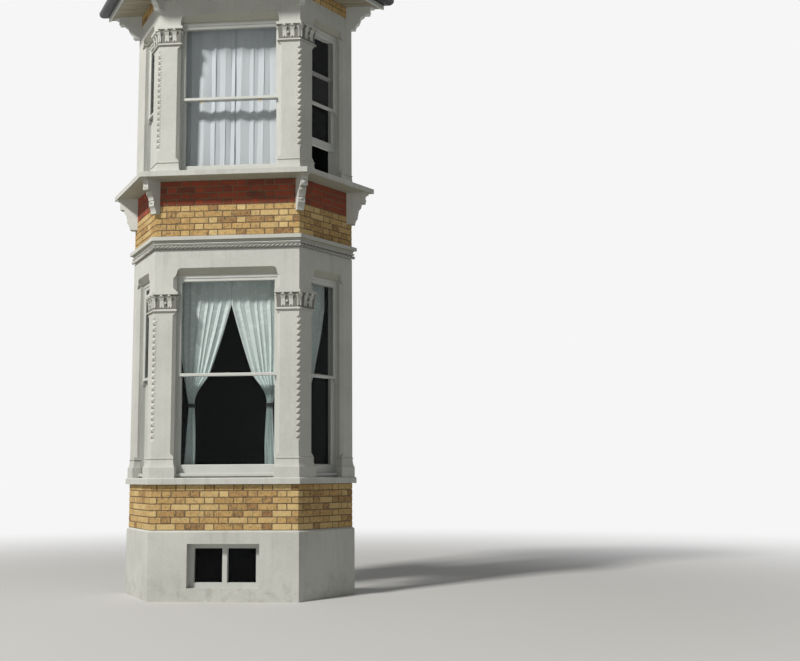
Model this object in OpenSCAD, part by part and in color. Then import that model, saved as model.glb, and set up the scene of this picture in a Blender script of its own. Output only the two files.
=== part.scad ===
// Two-storey canted bay window of a terraced house, from the ground to its own hipped roof.
// Millimetres, Z up. X runs to the right as seen from the street and the street lies towards -Y.
// The bay ends at the flat plane of the house wall. The origin is on the ground, under the
// middle of the bay's overall box.

/* [Plan] */
// Width of the front face
front_w = 1730; // [1650:10:1800]
// Distance from the house wall to the front face
bay_depth = 810; // [760:10:860]
// How far each slanting side spreads beyond the front corner, along the wall
side_spread = 525; // [480:5:560]
// Thickness of the brick and stone walls
wall_t = 225; // [215:5:235]
// Width of each corner pier on the front face
pier_w = 225; // [200:5:250]
// Width of each corner pier on the side face
side_pier_w = 215; // [200:5:235]
// Width of the wall pier at the far end of each side
wall_pier_w = 165; // [150:5:180]

/* [Heights] */
// Height of one brick course with its joint
course = 75; // [72:1:78]
// Height of the rendered plinth
plinth_h = 800; // [760:10:840]
// Brick courses between the plinth and the stone sill
band_courses = 7; // [6:1:8]
// Thickness of the ground-floor stone sill
sill_t = 75; // [65:5:85]
// Height of the ground-floor openings
lower_open_h = 2393; // [2300:1:2450]
// Height of the ground-floor lintel
lower_lintel_h = 292; // [270:1:310]
// Brick courses between the cornice and the sill slab
apron_courses = 9; // [8:1:10]
// Thickness of the sill slab
slab_t = 70; // [60:2:80]
// Height of the upper openings
upper_open_h = 1933; // [1860:1:2000]
// Height of the upper lintel
upper_lintel_h = 277; // [260:1:290]
// Brick courses between the upper lintel and the eaves
eaves_courses = 2; // [2:1:3]

/* [Piers] */
// Chamfer on the window side of each pier
jamb_chamfer = 35; // [25:1:40]
// Depth from the face to the timber windows
reveal = 75; // [65:1:85]
// Height of the plinth block under each ground-floor pier
lower_block_h = 120; // [100:5:140]
// Height of the plinth block under each upper pier
upper_block_h = 60; // [50:5:70]
// Height of the hollow flare above the plinth block
flare_h = 96; // [80:4:110]
// Radius of the bead above the flare
bead_r = 8; // [6:1:9]
// Projection of the plinth block from the pier's face
block_out = 24; // [18:1:28]
// Height of the carved capitals
capital_h = 230; // [210:5:250]
// Projection of the slab on top of each capital
abacus_out = 30; // [24:1:34]
// Width of the leaves round the capitals
leaf_w = 74; // [66:2:78]
// Relief of the leaves from the bell at their curled tips
leaf_out = 30; // [24:1:34]
// Distance from the head of a ground-floor opening down to the top of the capital
lower_capital_drop = 215; // [200:5:230]
// Distance from the head of an upper opening down to the top of the capital
upper_capital_drop = 70; // [60:5:90]
// Width of the flat cut on the corner edge that holds the dog-tooth row
tooth_w = 62; // [54:2:66]
// Spacing of the dog-teeth
tooth_pitch = 70; // [64:1:74]

/* [Mouldings] */
// Height of the stone cornice over the ground floor
cornice_h = 160; // [150:5:175]
// Projection of the cornice
cornice_out = 52; // [45:1:60]
// Radius of the rope moulding
rope_r = 22; // [18:1:24]
// Projection of the sill slab
slab_out = 235; // [220:5:250]
// Height of the brackets under the slab
bracket_h = 400; // [360:10:430]
// Height of the brackets under the eaves
eaves_bracket_h = 290; // [260:10:310]
// Thickness of every bracket
bracket_t = 84; // [76:2:92]
// Fall of the weathered top of the slab and the stone sill
weathering = 9; // [6:1:12]
// Height of the splay cut under each lintel
splay_h = 70; // [60:1:75]
// Depth of the splay cut
splay_d = 60; // [50:1:62]
// Distance from the jamb to the end of the splay
splay_stop = 42; // [30:1:50]
// Radius of the splay's rounded ends
splay_r = 55; // [40:1:58]

/* [Roof] */
// Thickness of the fascia board
fascia_t = 22; // [18:1:28]
// Projection of the eaves soffit from the walls
eaves_out = 330; // [300:5:360]
// Height of the fascia board
fascia_h = 160; // [140:5:180]
// Width of the gutter
gutter_w = 110; // [100:5:120]
// Slope of the roof in degrees
roof_pitch = 35; // [30:1:38]
// Vertical thickness of the slate covering and its boards
roof_t = 60; // [50:5:70]

/* [Windows] */
// Width of the timber frame's sides and head
frame_w = 40; // [35:1:45]
// Depth of the timber frame
frame_d = 140; // [130:5:145]
// Height of the timber sill
timber_sill_h = 55; // [50:1:60]
// Width of the sash stiles
stile_w = 44; // [40:1:50]
// Thickness of each sash
sash_t = 38; // [34:1:40]
// Height of the meeting rails
meet_h = 34; // [30:1:38]
// Height of the lower sash's bottom rail
bottom_rail_h = 98; // [85:1:105]
// Length of the horns under the upper sashes' stiles
horn_h = 46; // [38:2:52]
// Projection of the timber sill's nose
sill_nose = 26; // [20:1:30]
// Thickness of the glass
glass_t = 4; // [3:1:6]
// How far the right-hand lower sash of the upper floor is raised
sash_lift = 400; // [380:10:420]

/* [Basement window] */
// Width of the basement window
base_win_w = 840; // [780:10:900]
// Height of the basement window's sill above the ground
base_win_z = 150; // [120:10:180]
// Height of the basement window
base_win_h = 500; // [450:10:540]

/* [Hidden] */
$fn = 48;

// Levels above the ground
band_z = plinth_h;
sill_z = band_z + band_courses * course;
lower_z = sill_z + sill_t;
lower_head_z = lower_z + lower_open_h;
cornice_z = lower_head_z + lower_lintel_h;
apron_z = cornice_z + cornice_h;
slab_z = apron_z + apron_courses * course;
upper_z = slab_z + slab_t;
upper_head_z = upper_z + upper_open_h;
eaves_wall_z = upper_head_z + upper_lintel_h;
soffit_z = eaves_wall_z + eaves_courses * course;

// Plan of the bay
side_len = sqrt(bay_depth * bay_depth + side_spread * side_spread);
side_angle = atan2(bay_depth, side_spread);
back_y = (bay_depth + eaves_out + fascia_t + gutter_w) / 2;
front_y = back_y - bay_depth;
front_open_w = front_w - 2 * pier_w;
side_open_w = side_len - side_pier_w - wall_pier_w;
side_open_u = side_pier_w + side_open_w / 2;
slack = 1;
far = 600;
deep = 5 * far;
tall = 9000;
jamb_x = front_w / 2 - pier_w - jamb_chamfer;
jamb_u = side_pier_w + jamb_chamfer;
wall_jamb_u = side_len - wall_pier_w - jamb_chamfer;

// Where a line set out from the faces by o turns the front corner and meets the house wall
corner_k = (side_len - side_spread) / bay_depth;
function corner_x(o) = front_w / 2 + o * corner_k;
function wall_x(o) = front_w / 2 + side_spread + o * side_len / bay_depth;
function reversed(list) = [for (i = [len(list) - 1:-1:0]) list[i]];
function bay_line(o) = [[-wall_x(o), back_y], [-corner_x(o), front_y - o],
    [corner_x(o), front_y - o], [wall_x(o), back_y]];
// A point of the right side face: u along it from the front corner, d into the wall
function side_pt(u, d) = [front_w / 2 + u * cos(side_angle) - d * sin(side_angle),
    front_y + u * sin(side_angle) + d * cos(side_angle)];
function front_pt(x, d) = [x, front_y + d];
// Points of an arc about c, and of a bead that stands half out of a face at x
arc_steps = 8;
function arc(c, r, a0, a1) = [for (i = [0:arc_steps])
    let (a = a0 + (a1 - a0) * i / arc_steps) c + r * [cos(a), sin(a)]];
function bead(x, y, r) = arc([x, y + r], r, -90, 90);
// Points of a hollow curve that leaves the vertical x at one end and lies e further out at the other,
// over a height v: the flare widens downward and the bell upward
function hollow(x, e, v) = let (r = (e * e + v * v) / (2 * e), a1 = asin(v / r))
    [for (i = [0:arc_steps]) let (a = a1 * i / arc_steps) [x + r - r * cos(a), r * sin(a)]];
function bell(x, y, e, v) = [for (p = hollow(x, e, v)) [p[0], y + p[1]]];
function flare(x, y, e, v) = reversed([for (p = hollow(x, e, v)) [p[0], y + v - p[1]]]);

// A wall that follows the three faces between two set-outs
module bay_ring(outer, inner, z, h)
    translate([0, 0, z]) linear_extrude(h) polygon(concat(bay_line(outer), reversed(bay_line(inner))));

module bay_plate(outer, z, h)
    translate([0, 0, z]) linear_extrude(h) polygon(bay_line(outer));

module both_sides() {
    children();
    mirror([1, 0, 0]) children();
}

// Frames of the faces: X along the face, Y into the wall, Z up
module on_front() translate([0, front_y, 0]) children();

module on_right(u) translate([front_w / 2, front_y, 0]) rotate([0, 0, side_angle])
    translate([u, 0, 0]) children();

// A frame on the front corner: X points outward along the corner's bisector
module on_corner() translate([front_w / 2, front_y, 0]) rotate([0, 0, side_angle / 2 - 90]) children();

// A section drawn X outward and Y up, laid along a face or along a jamb that looks towards X
module along_face() rotate([90, 0, -90]) linear_extrude(2 * deep, center = true) children();
module along_jamb() rotate([90, 0, 0]) linear_extrude(2 * far, center = true) children();

// A section whose outline goes up from its lowest outer point and is filled to deep inside
module section(outline) polygon(concat([[-deep, outline[0][1]]], outline,
    [[-deep, outline[len(outline) - 1][1]]]));

// The bay's whole plan grown by a section, so that every moulding meets in a mitre at the corners
module moulded_plate(low = -slack) intersection() {
    on_front() along_face() children();
    on_right(0) along_face() children();
    mirror([1, 0, 0]) on_right(0) along_face() children();
    bay_plate(far, low, tall);
}
module moulded_ring(z, h) difference() {
    translate([0, 0, z]) moulded_plate() children();
    bay_plate(-wall_t, z - slack, h + 2 * slack);
}

// Plan of a window hole in one face, with the rebate that hides the timber frame
module window_hole_plan(w) {
    translate([-w / 2 + jamb_chamfer, -slack]) square([w - 2 * jamb_chamfer, wall_t + 2 * slack]);
    translate([-w / 2, reveal]) square([w, wall_t - reveal + slack]);
}

// A chamfer on a jamb's edge that dies out in a slope at each end. X and Y run into the stone.
module stopped_chamfer(z1, z2) intersection() {
    linear_extrude(z2) polygon([
        [-slack, -slack], [jamb_chamfer + slack, -slack], [-slack, jamb_chamfer + slack]]);
    rotate([90, 0, 0]) linear_extrude(4 * jamb_chamfer, center = true) polygon([
        [-slack, z1 - slack], [jamb_chamfer + slack, z1 + jamb_chamfer + slack],
        [jamb_chamfer + slack, z2 - jamb_chamfer - slack], [-slack, z2 + slack]]);
}

// The splay under a lintel: a sloping cut whose ends turn down in a quarter circle
module head_splay(w, z) translate([0, 0, z]) {
    s = w / 2 - splay_stop;
    intersection() {
        translate([0, splay_d, 0]) rotate([90, 0, 0]) linear_extrude(splay_d + slack) {
            translate([-s, -slack]) square([2 * s, splay_h - splay_r + slack]);
            translate([splay_r - s, 0]) square([2 * (s - splay_r), splay_h]);
            for (side = [-1, 1]) translate([side * (s - splay_r), splay_h - splay_r]) circle(splay_r);
        }
        translate([-s, 0, 0]) rotate([90, 0, 90]) linear_extrude(2 * s) polygon([
            [-slack, -slack], [-slack, splay_h * (splay_d + slack) / splay_d],
            [splay_d, 0], [splay_d, -slack]]);
    }
}

// Plan of the right corner pier, its visible faces set out by o
module corner_pier_plan(o) polygon([
    front_pt(jamb_x - o, -o), [corner_x(o), front_y - o], side_pt(jamb_u + o, -o),
    side_pt(jamb_u + o, reveal), side_pt(side_pier_w, reveal), side_pt(side_pier_w, wall_t),
    [corner_x(-wall_t), front_y + wall_t], front_pt(front_w / 2 - pier_w, wall_t),
    front_pt(front_w / 2 - pier_w, reveal), front_pt(jamb_x - o, reveal)]);

// Plan of the right wall pier, its visible faces set out by o
module wall_pier_plan(o) polygon([
    side_pt(wall_jamb_u - o, -o), [wall_x(o), back_y], [wall_x(-wall_t), back_y],
    side_pt(side_len - wall_pier_w, wall_t), side_pt(side_len - wall_pier_w, reveal),
    side_pt(wall_jamb_u - o, reveal)]);

// The piers' plans grown by a section that is drawn X outward and Y up, mitred at every corner
module corner_pier_moulded(h) intersection() {
    on_front() along_face() children();
    on_front() translate([jamb_x, 0, 0]) mirror([1, 0, 0]) along_jamb() children();
    on_right(0) along_face() children();
    on_right(jamb_u) along_jamb() children();
    linear_extrude(h) corner_pier_plan(2 * block_out);
}
module wall_pier_moulded(h) intersection() {
    on_right(0) along_face() children();
    on_right(wall_jamb_u) mirror([1, 0, 0]) along_jamb() children();
    linear_extrude(h) wall_pier_plan(2 * block_out);
}

// Section of a pier's base: a block, a hollow flare and a bead
flare_out = block_out - 5;
function base_h(block) = block + flare_h + 2 * bead_r;
base_neck = 2;
module base_section(block) section(concat([[block_out, 0], [block_out, block]],
    flare(base_neck, block, flare_out - base_neck, flare_h), bead(base_neck, block + flare_h, bead_r)));

// Section of a capital: a square neck, a bell that opens upward, a groove and the slab on top
neck_out = 20;
neck_t = 14;
neck_h = 24;
bell_foot = 4;
bell_out = 14;
abacus_h = 32;
abacus_groove = 10;
bell_h = capital_h - neck_h - abacus_h - abacus_groove;
module capital_section() {
    groove_x = bell_out - 6;
    abacus_z = capital_h - abacus_h;
    section(concat([[neck_out, 0], [neck_out, neck_t]],
        bell(bell_foot, neck_h, bell_out - bell_foot, bell_h),
        [[groove_x, abacus_z - abacus_groove], [groove_x, abacus_z],
        [abacus_out, abacus_z], [abacus_out, capital_h]]));
}

// How far the capital's top lies under the head of its storey's openings, and the level of its foot
function capital_drop(head_z) = head_z > cornice_z ? upper_capital_drop : lower_capital_drop;
function capital_z(head_z) = head_z - capital_drop(head_z) - capital_h;
chamfer_gap = 16;

module corner_piers(z, head_z, block) both_sides() difference() {
    foot = z + base_h(block);
    top = capital_z(head_z);
    union() {
        translate([0, 0, z]) corner_pier_moulded(base_h(block)) base_section(block);
        translate([0, 0, z]) linear_extrude(top - z) corner_pier_plan(0);
    }
    tooth_cut(foot, top);
    on_front() translate([jamb_x, 0, 0]) stopped_chamfer(foot + chamfer_gap, top - chamfer_gap);
    on_right(jamb_u) mirror([1, 0, 0]) stopped_chamfer(foot + chamfer_gap, top - chamfer_gap);
}

module wall_piers(z, head_z, block) both_sides() difference() {
    union() {
        translate([0, 0, z]) wall_pier_moulded(base_h(block)) base_section(block);
        translate([0, 0, z]) linear_extrude(head_z - capital_drop(head_z) - z) wall_pier_plan(0);
    }
    on_right(wall_jamb_u) stopped_chamfer(z + base_h(block) + chamfer_gap, head_z);
}

// The corner edge of each pier is cut to a flat for a row of four-leaved dog-teeth
tooth_top = 100;
tooth_foot = 170;
tooth_seat_x = -tooth_w / 2 * tan(side_angle / 2);
tooth_out = 0.42 * tooth_w;
tooth_notch = 9;
broach = 2;
function tooth_count(low, high) = floor((high - low - tooth_top - tooth_foot) / tooth_pitch);

// The flat runs out to the sharp edge in a broach stop at each end
module tooth_cut(low, high) {
    z2 = high - tooth_top;
    z1 = z2 - tooth_count(low, high) * tooth_pitch;
    on_corner() rotate([90, 0, 0]) linear_extrude(2 * tooth_w, center = true) polygon([
        [tooth_seat_x, z1], [tooth_seat_x + tooth_w, z1 - broach * tooth_w],
        [tooth_seat_x + tooth_w, z2 + broach * tooth_w], [tooth_seat_x, z2]]);
}

// A pyramid on the YZ plane that points along X
module pyramid(w, h, out) intersection() {
    linear_extrude(h, center = true) polygon([[0, -w / 2], [out, 0], [0, w / 2]]);
    rotate([90, 0, 0]) linear_extrude(w, center = true) polygon([[0, -h / 2], [out, 0], [0, h / 2]]);
}

// One dog-tooth: a pyramid whose sides are notched between its four leaves
module dogtooth() intersection() {
    pyramid(tooth_w, tooth_pitch, tooth_out);
    rotate([0, 90, 0]) linear_extrude(tooth_out) difference() {
        square([tooth_pitch - 1, tooth_w - 1], center = true);
        for (turn = [0, 180]) rotate(turn) {
            translate([tooth_pitch / 2, 0]) circle(tooth_notch);
            translate([0, tooth_w / 2]) circle(tooth_notch);
        }
    }
}
module dogtooth_row(z, head_z, block) {
    high = capital_z(head_z);
    both_sides() on_corner() for (i = [1:tooth_count(z + base_h(block), high)])
        translate([tooth_seat_x, 0, high - tooth_top - (i - 0.5) * tooth_pitch]) dogtooth();
}

// A leaf that grows up the bell and curls over under the slab: a side view with a rolled tip, crossed
// with a front view of five lobes. X outward, Y across, Z up.
leaf_back = 24;
curl_r = 15;
lobes = 5;
lobe_depth = 0.17;
function leaf_edge(w, h, a) = let (r = w / 2 * (1 - lobe_depth + lobe_depth * cos(lobes * (a - 90))))
    [r * cos(a), h - w / 2 + r * sin(a) * (sin(a) < 0 ? (2 * h - w) / w : 1)];
module leaf(w, h) intersection() {
    rotate([90, 0, 0]) linear_extrude(w, center = true) polygon(concat(
        [[-leaf_back, 0], [bell_foot + 8, 0], [bell_foot + 4, h * 0.3], [bell_foot + 9, h * 0.6]],
        arc([bell_out + leaf_out - curl_r, h - curl_r], curl_r, -80, 130), [[-leaf_back, h - curl_r]]));
    translate([-leaf_back, 0, 0]) rotate([90, 0, 90]) linear_extrude(2 * leaf_back + 2 * leaf_out)
        polygon([for (a = [-84:8:264]) leaf_edge(w, h, a)]);
}

// A capital with one leaf on the corner, two on each face and a smaller one on each jamb,
// and a berry between the two leaves of each face. Places are shares of the pier's width.
leaf_h = capital_h - abacus_h - neck_t - 2;
jamb_leaf = 0.8;
leaf_seat = 4;
berry_r = 15;
function front_seat(share) = [front_w / 2 - pier_w * share - leaf_w * 0.3, 0, 0];
function side_seat(share) = side_pier_w * share + leaf_w * 0.3;
module capital() {
    corner_pier_moulded(capital_h) capital_section();
    translate([0, 0, neck_t]) {
        on_corner() translate([-leaf_seat, 0, 0]) leaf(leaf_w, leaf_h);
        for (share = [0.32, 0.74])
            on_front() translate(front_seat(share)) rotate([0, 0, -90]) leaf(leaf_w, leaf_h);
        for (share = [0.36, 0.78])
            on_right(side_seat(share)) rotate([0, 0, -90]) leaf(leaf_w, leaf_h);
        on_front() translate([jamb_x + leaf_seat, reveal / 2, 0])
            rotate([0, 0, 180]) leaf(leaf_w * jamb_leaf, leaf_h);
        on_right(jamb_u - leaf_seat) translate([0, reveal / 2, 0]) leaf(leaf_w * jamb_leaf, leaf_h);
    }
    translate([0, 0, neck_h + 0.42 * bell_h]) {
        on_front() translate(front_seat(0.53)) translate([0, -bell_out, 0]) sphere(berry_r);
        on_right(side_seat(0.57)) translate([0, -bell_out, 0]) sphere(berry_r);
    }
}
module capitals(head_z) both_sides() translate([0, 0, capital_z(head_z)]) union() capital();

// The wall over the capitals, cut by the window heads, their splays and the ends of the jambs' chamfers
module lintel(head_z, h) {
    drop = capital_drop(head_z);
    low = head_z - drop;
    difference() {
        bay_ring(0, -wall_t, low, drop + h);
        on_front() {
            translate([0, 0, low - slack]) linear_extrude(drop + slack) window_hole_plan(front_open_w);
            head_splay(front_open_w, head_z);
        }
        both_sides() on_right(side_open_u) {
            translate([0, 0, low - slack]) linear_extrude(drop + slack) window_hole_plan(side_open_w);
            head_splay(side_open_w, head_z);
        }
        both_sides() on_right(wall_jamb_u)
            stopped_chamfer(low - 2 * jamb_chamfer, head_z - chamfer_gap);
        if (drop > 4 * jamb_chamfer) both_sides() {
            on_front() translate([jamb_x, 0, 0])
                stopped_chamfer(low + chamfer_gap, head_z - chamfer_gap);
            on_right(jamb_u) mirror([1, 0, 0]) stopped_chamfer(low + chamfer_gap, head_z - chamfer_gap);
        }
    }
}

plinth_out = 20;
module plinth() color("gainsboro") difference() {
    moulded_ring(0, plinth_h) section([
        [plinth_out, 0], [plinth_out, plinth_h - plinth_out], [0, plinth_h]]);
    on_front() translate([-base_win_w / 2, -plinth_out - slack, base_win_z])
        cube([base_win_w, wall_t + plinth_out + 2 * slack, base_win_h]);
}

// The two lights of the basement window
base_member = 55;
base_frame_d = 70;
module basement_lights(depth, thick) for (side = [-1, 1])
    translate([side * (base_win_w - base_member) / 4 - (base_win_w - 3 * base_member) / 4, depth,
        base_win_z + base_member])
        cube([(base_win_w - 3 * base_member) / 2, thick, base_win_h - 2 * base_member]);

module basement_window_frame() color("ivory") on_front() difference() {
    translate([-base_win_w / 2, reveal, base_win_z]) cube([base_win_w, base_frame_d, base_win_h]);
    basement_lights(reveal - slack, base_frame_d + 2 * slack);
}

module basement_window_glass() color("lightcyan", 0.5) on_front()
    basement_lights(reveal + (base_frame_d - glass_t) / 2, glass_t);

module brick_band() color("goldenrod") bay_ring(0, -wall_t, band_z, band_courses * course);

// A sill: weathered on top beyond the piers' blocks, with a drip cut under its edge
sill_out = 42;
drip = 10;
module sill_section(out, h) section([[out, 0], [out, h - weathering - 3], [out - 3, h - weathering],
    [block_out + 2, h]]);
module sill_ring(out, z, h) difference() {
    moulded_ring(z, h) sill_section(out, h);
    bay_ring(out - drip, out - 2 * drip, z - slack, drip / 2 + slack);
}
module stone_sill() color("gainsboro") sill_ring(sill_out, sill_z, sill_t);
module sill_slab() color("gainsboro") sill_ring(slab_out, slab_z, slab_t);

floor_t = 150;
ceiling_t = 40;
// Floors: the one stands below the brick band's foot, the other above the apron's
ground_floor_drop = 100;
first_floor_rise = 155;
module ground_floor() color("burlywood") bay_plate(-wall_t, band_z - ground_floor_drop, floor_t);
module first_floor() color("burlywood") bay_plate(-wall_t, apron_z + first_floor_rise, floor_t);
module ceiling() color("white") bay_plate(-wall_t, eaves_wall_z, ceiling_t);

module lower_corner_piers() color("gainsboro") corner_piers(lower_z, lower_head_z, lower_block_h);
module lower_wall_piers() color("gainsboro") wall_piers(lower_z, lower_head_z, lower_block_h);
module lower_capitals() color("gainsboro") capitals(lower_head_z);
module lower_dogtooth() color("gainsboro") dogtooth_row(lower_z, lower_head_z, lower_block_h);
module lower_lintel() color("gainsboro") lintel(lower_head_z, lower_lintel_h);
module upper_corner_piers() color("gainsboro") corner_piers(upper_z, upper_head_z, upper_block_h);
module upper_wall_piers() color("gainsboro") wall_piers(upper_z, upper_head_z, upper_block_h);
module upper_capitals() color("gainsboro") capitals(upper_head_z);
module upper_dogtooth() color("gainsboro") dogtooth_row(upper_z, upper_head_z, upper_block_h);
module upper_lintel() color("gainsboro") lintel(upper_head_z, upper_lintel_h);

// Section of the cornice: seat of the rope, fillet, bead, groove, hollow and weathered fascia
rope_back = -8;
rope_zone = 2 * rope_r + 6;
cornice_bead_r = 8;
fillet_h = 8;
fillet_out = cornice_out - 32;
hollow_out = cornice_out - 42;
module cornice_section() {
    bead_z = rope_zone + fillet_h;
    hollow_z = bead_z + 2 * cornice_bead_r + 8;
    fascia_z = hollow_z + 24;
    section(concat([[rope_back, 0], [rope_back, rope_zone], [fillet_out, rope_zone]],
        bead(fillet_out, bead_z, cornice_bead_r), [[hollow_out, bead_z + 2 * cornice_bead_r]],
        bell(hollow_out, hollow_z, 20, fascia_z - hollow_z),
        [[cornice_out, fascia_z], [cornice_out, cornice_h - weathering], [0, cornice_h]]));
}
module cornice() color("gainsboro") moulded_ring(cornice_z, cornice_h) cornice_section();

// Three strands that turn about each other along one face, seated in a groove. The run goes from
// u0 to u1 along the face; each end leans by its slope so that neighbouring runs meet in a mitre.
rope_turn = 7.3 * rope_r;
rope_joint = 0.4;
rope_sides = 12;
rope_rings = 6;
function rope_point(t, i, u0, slope0, u1, slope1) =
    let (angle = 360 * i / rope_sides, r = rope_r * (1 - 0.2 * abs(cos(1.5 * angle))),
        turned = angle + 360 * t * (u1 - u0) / rope_turn,
        o = rope_back + rope_r + rope_joint + r * cos(turned))
    [(1 - t) * (u0 - slope0 * o) + t * (u1 + slope1 * o), -o, r * sin(turned)];
module rope_run(u0, slope0, u1, slope1) {
    count = ceil((u1 - u0) / rope_turn * rope_rings);
    points = [for (k = [0:count], i = [0:rope_sides - 1])
        rope_point(k / count, i, u0, slope0, u1, slope1)];
    sides = [for (k = [0:count - 1], i = [0:rope_sides - 1])
        let (a = k * rope_sides + i, b = k * rope_sides + (i + 1) % rope_sides)
        each [[a, b, b + rope_sides], [a, b + rope_sides, a + rope_sides]]];
    start = [for (i = [rope_sides - 1:-1:0]) i];
    end = [for (i = [0:rope_sides - 1]) count * rope_sides + i];
    polyhedron(points, concat(sides, [start, end]));
}

module rope_moulding() color("gainsboro") translate([0, 0, cornice_z + rope_zone / 2]) {
    on_front() rope_run(rope_joint - front_w / 2, corner_k, front_w / 2 - rope_joint, corner_k);
    both_sides() on_right(0) rope_run(rope_joint, corner_k, side_len, side_spread / bay_depth);
}

module brick_apron() color("goldenrod") bay_ring(0, -wall_t, apron_z, apron_courses * course);
module eaves_brickwork() color("goldenrod") bay_ring(0, -wall_t, eaves_wall_z, eaves_courses * course);

// Side outline of a bracket with its top at zero: cap, block, then two hollow-fronted steps
block_x = 0.82;
middle_x = 0.56;
foot_x = 0.36;
module bracket_outline(reach, h) {
    back = 60;
    translate([-back, -0.05 * h]) square([back + reach, 0.05 * h]);
    difference() {
        translate([-back, -0.15 * h]) square([back + reach - 8, 0.1 * h + slack]);
        translate([block_x * reach + 0.1 * h, -0.15 * h]) circle(0.1 * h);
    }
    translate([-back, -0.34 * h]) square([back + block_x * reach, 0.19 * h + slack]);
    difference() {
        translate([-back, -0.62 * h]) square([back + middle_x * reach, 0.28 * h + slack]);
        translate([middle_x * reach * 0.72 + 0.2 * h, -0.62 * h]) circle(0.2 * h);
    }
    difference() {
        translate([-back, -h]) square([back + foot_x * reach, 0.38 * h + slack]);
        translate([foot_x * reach * 0.55 + 0.3 * h, -h]) circle(0.3 * h);
    }
}

// One bracket standing out along X, with nail-heads cut on the fronts of its steps
cap_lap = 6;
module bracket(reach, h) {
    rotate([90, 0, 0]) linear_extrude(bracket_t, center = true) bracket_outline(reach, h);
    cap_h = 0.05 * h;
    translate([0, -bracket_t / 2 - cap_lap, -cap_h]) cube([reach, bracket_t + 2 * cap_lap, cap_h]);
    for (step = [[block_x, 0.245, 0.17], [middle_x, 0.395, 0.1], [foot_x, 0.68, 0.1]])
        translate([step[0] * reach - slack, 0, -step[1] * h])
            pyramid(0.84 * bracket_t, step[2] * h, 0.18 * bracket_t);
}

// Two brackets on the corners and two against the house wall, below the level z
module brackets(reach, h, z) both_sides() difference() {
    union() {
        on_corner() translate([0, 0, z]) bracket(reach, h);
        translate([wall_x(0), back_y - bracket_t / 2 - cap_lap, z]) bracket(reach, h);
    }
    bay_plate(0, z - h - slack, h + 2 * slack);
}

module slab_brackets() color("gainsboro") brackets(slab_out - 2 * drip - 2, bracket_h, slab_z);
module eaves_brackets() color("gainsboro") brackets(eaves_out - 30, eaves_bracket_h, soffit_z);

soffit_t = 20;
fascia_drop = 12;
module eaves_soffit() color("olivedrab") bay_ring(eaves_out, -wall_t, soffit_z, soffit_t);
module fascia_board() color("white")
    bay_ring(eaves_out + fascia_t, eaves_out, soffit_z - fascia_drop, fascia_h + fascia_drop);

// Section of the gutter: flat against the fascia and rounded in front
gutter_z = soffit_z + 40;
gutter_h = 75;
gutter_t = 5;
roof_e = eaves_out + fascia_t;
module gutter_section(t) {
    r = 0.55 * gutter_w;
    section(concat(arc([roof_e + gutter_w - r, r], r - t, -90, 0),
        [[roof_e + gutter_w - t, gutter_h + t]]));
}
module gutter_shell() translate([0, 0, gutter_z]) difference() {
    moulded_plate() gutter_section(0);
    difference() {
        moulded_plate() gutter_section(gutter_t);
        bay_plate(roof_e + gutter_t, -slack, gutter_h + far);
    }
    bay_plate(roof_e, -slack, gutter_h + far);
}

// The gutter is cast in three lengths that meet in open joints at the hips
gutter_joint = 2;
module beyond_hip() on_corner() translate([-deep, gutter_joint / 2, 0]) cube([2 * deep, deep, tall]);
module gutter() color("dimgray") {
    both_sides() intersection() {
        gutter_shell();
        beyond_hip();
    }
    difference() {
        gutter_shell();
        both_sides() on_corner() translate([-deep, -gutter_joint / 2, 0])
            cube([2 * deep, deep, tall]);
    }
}

// The solid under the roof's three slopes, with the surface raised by lift
roof_z = soffit_z + fascia_h;
roof_lap = 40;
module roof_solid(lift) translate([0, 0, roof_z + lift]) moulded_plate(-far)
    polygon([[-deep, -far], [roof_e + 2 * roof_lap, -far],
        [roof_e + 2 * roof_lap, -2 * roof_lap * tan(roof_pitch)],
        [-deep, (deep + roof_e) * tan(roof_pitch)]]);

module roof_slopes() color("slategray") difference() {
    intersection() {
        roof_solid(roof_t);
        bay_plate(roof_e + roof_lap, roof_z - roof_lap * tan(roof_pitch), 4 * far);
    }
    roof_solid(0);
}

// Lead rolls on the two hips
hip_r = 32;
hip_slope = atan(tan(roof_pitch) / sqrt(1 + corner_k * corner_k));
module lead_hips() color("gray") both_sides() difference() {
    intersection() {
        on_corner() translate([(roof_e + roof_lap) * sqrt(1 + corner_k * corner_k), 0,
            roof_z + roof_t - roof_lap * tan(roof_pitch)])
            rotate([0, hip_slope - 90, 0]) cylinder(r = hip_r, h = deep);
        bay_plate(roof_e + roof_lap, roof_z - far, deep);
    }
    roof_solid(roof_t);
}

// Sash windows. Each is drawn in the frame of its face, centred, with its sill at zero.
function sash_w(w) = w - 2 * frame_w;
function meet_z(h) = timber_sill_h + (h - timber_sill_h - frame_w) / 2;

module sash_frame(w, h) {
    nose_w = w - 2 * (jamb_chamfer + block_out + slack);
    nose_low = 18;
    difference() {
        translate([-w / 2, reveal, 0]) cube([w, frame_d, h]);
        translate([-w / 2 + frame_w, reveal - slack, timber_sill_h])
            cube([w - 2 * frame_w, frame_d + 2 * slack, h - timber_sill_h - frame_w]);
    }
    translate([-nose_w / 2, 0, 0]) rotate([90, 0, 90]) linear_extrude(nose_w) polygon([
        [reveal - sill_nose, nose_low], [reveal - sill_nose, timber_sill_h - weathering],
        [reveal, timber_sill_h], [reveal + slack, timber_sill_h], [reveal + slack, nose_low]]);
}

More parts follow.
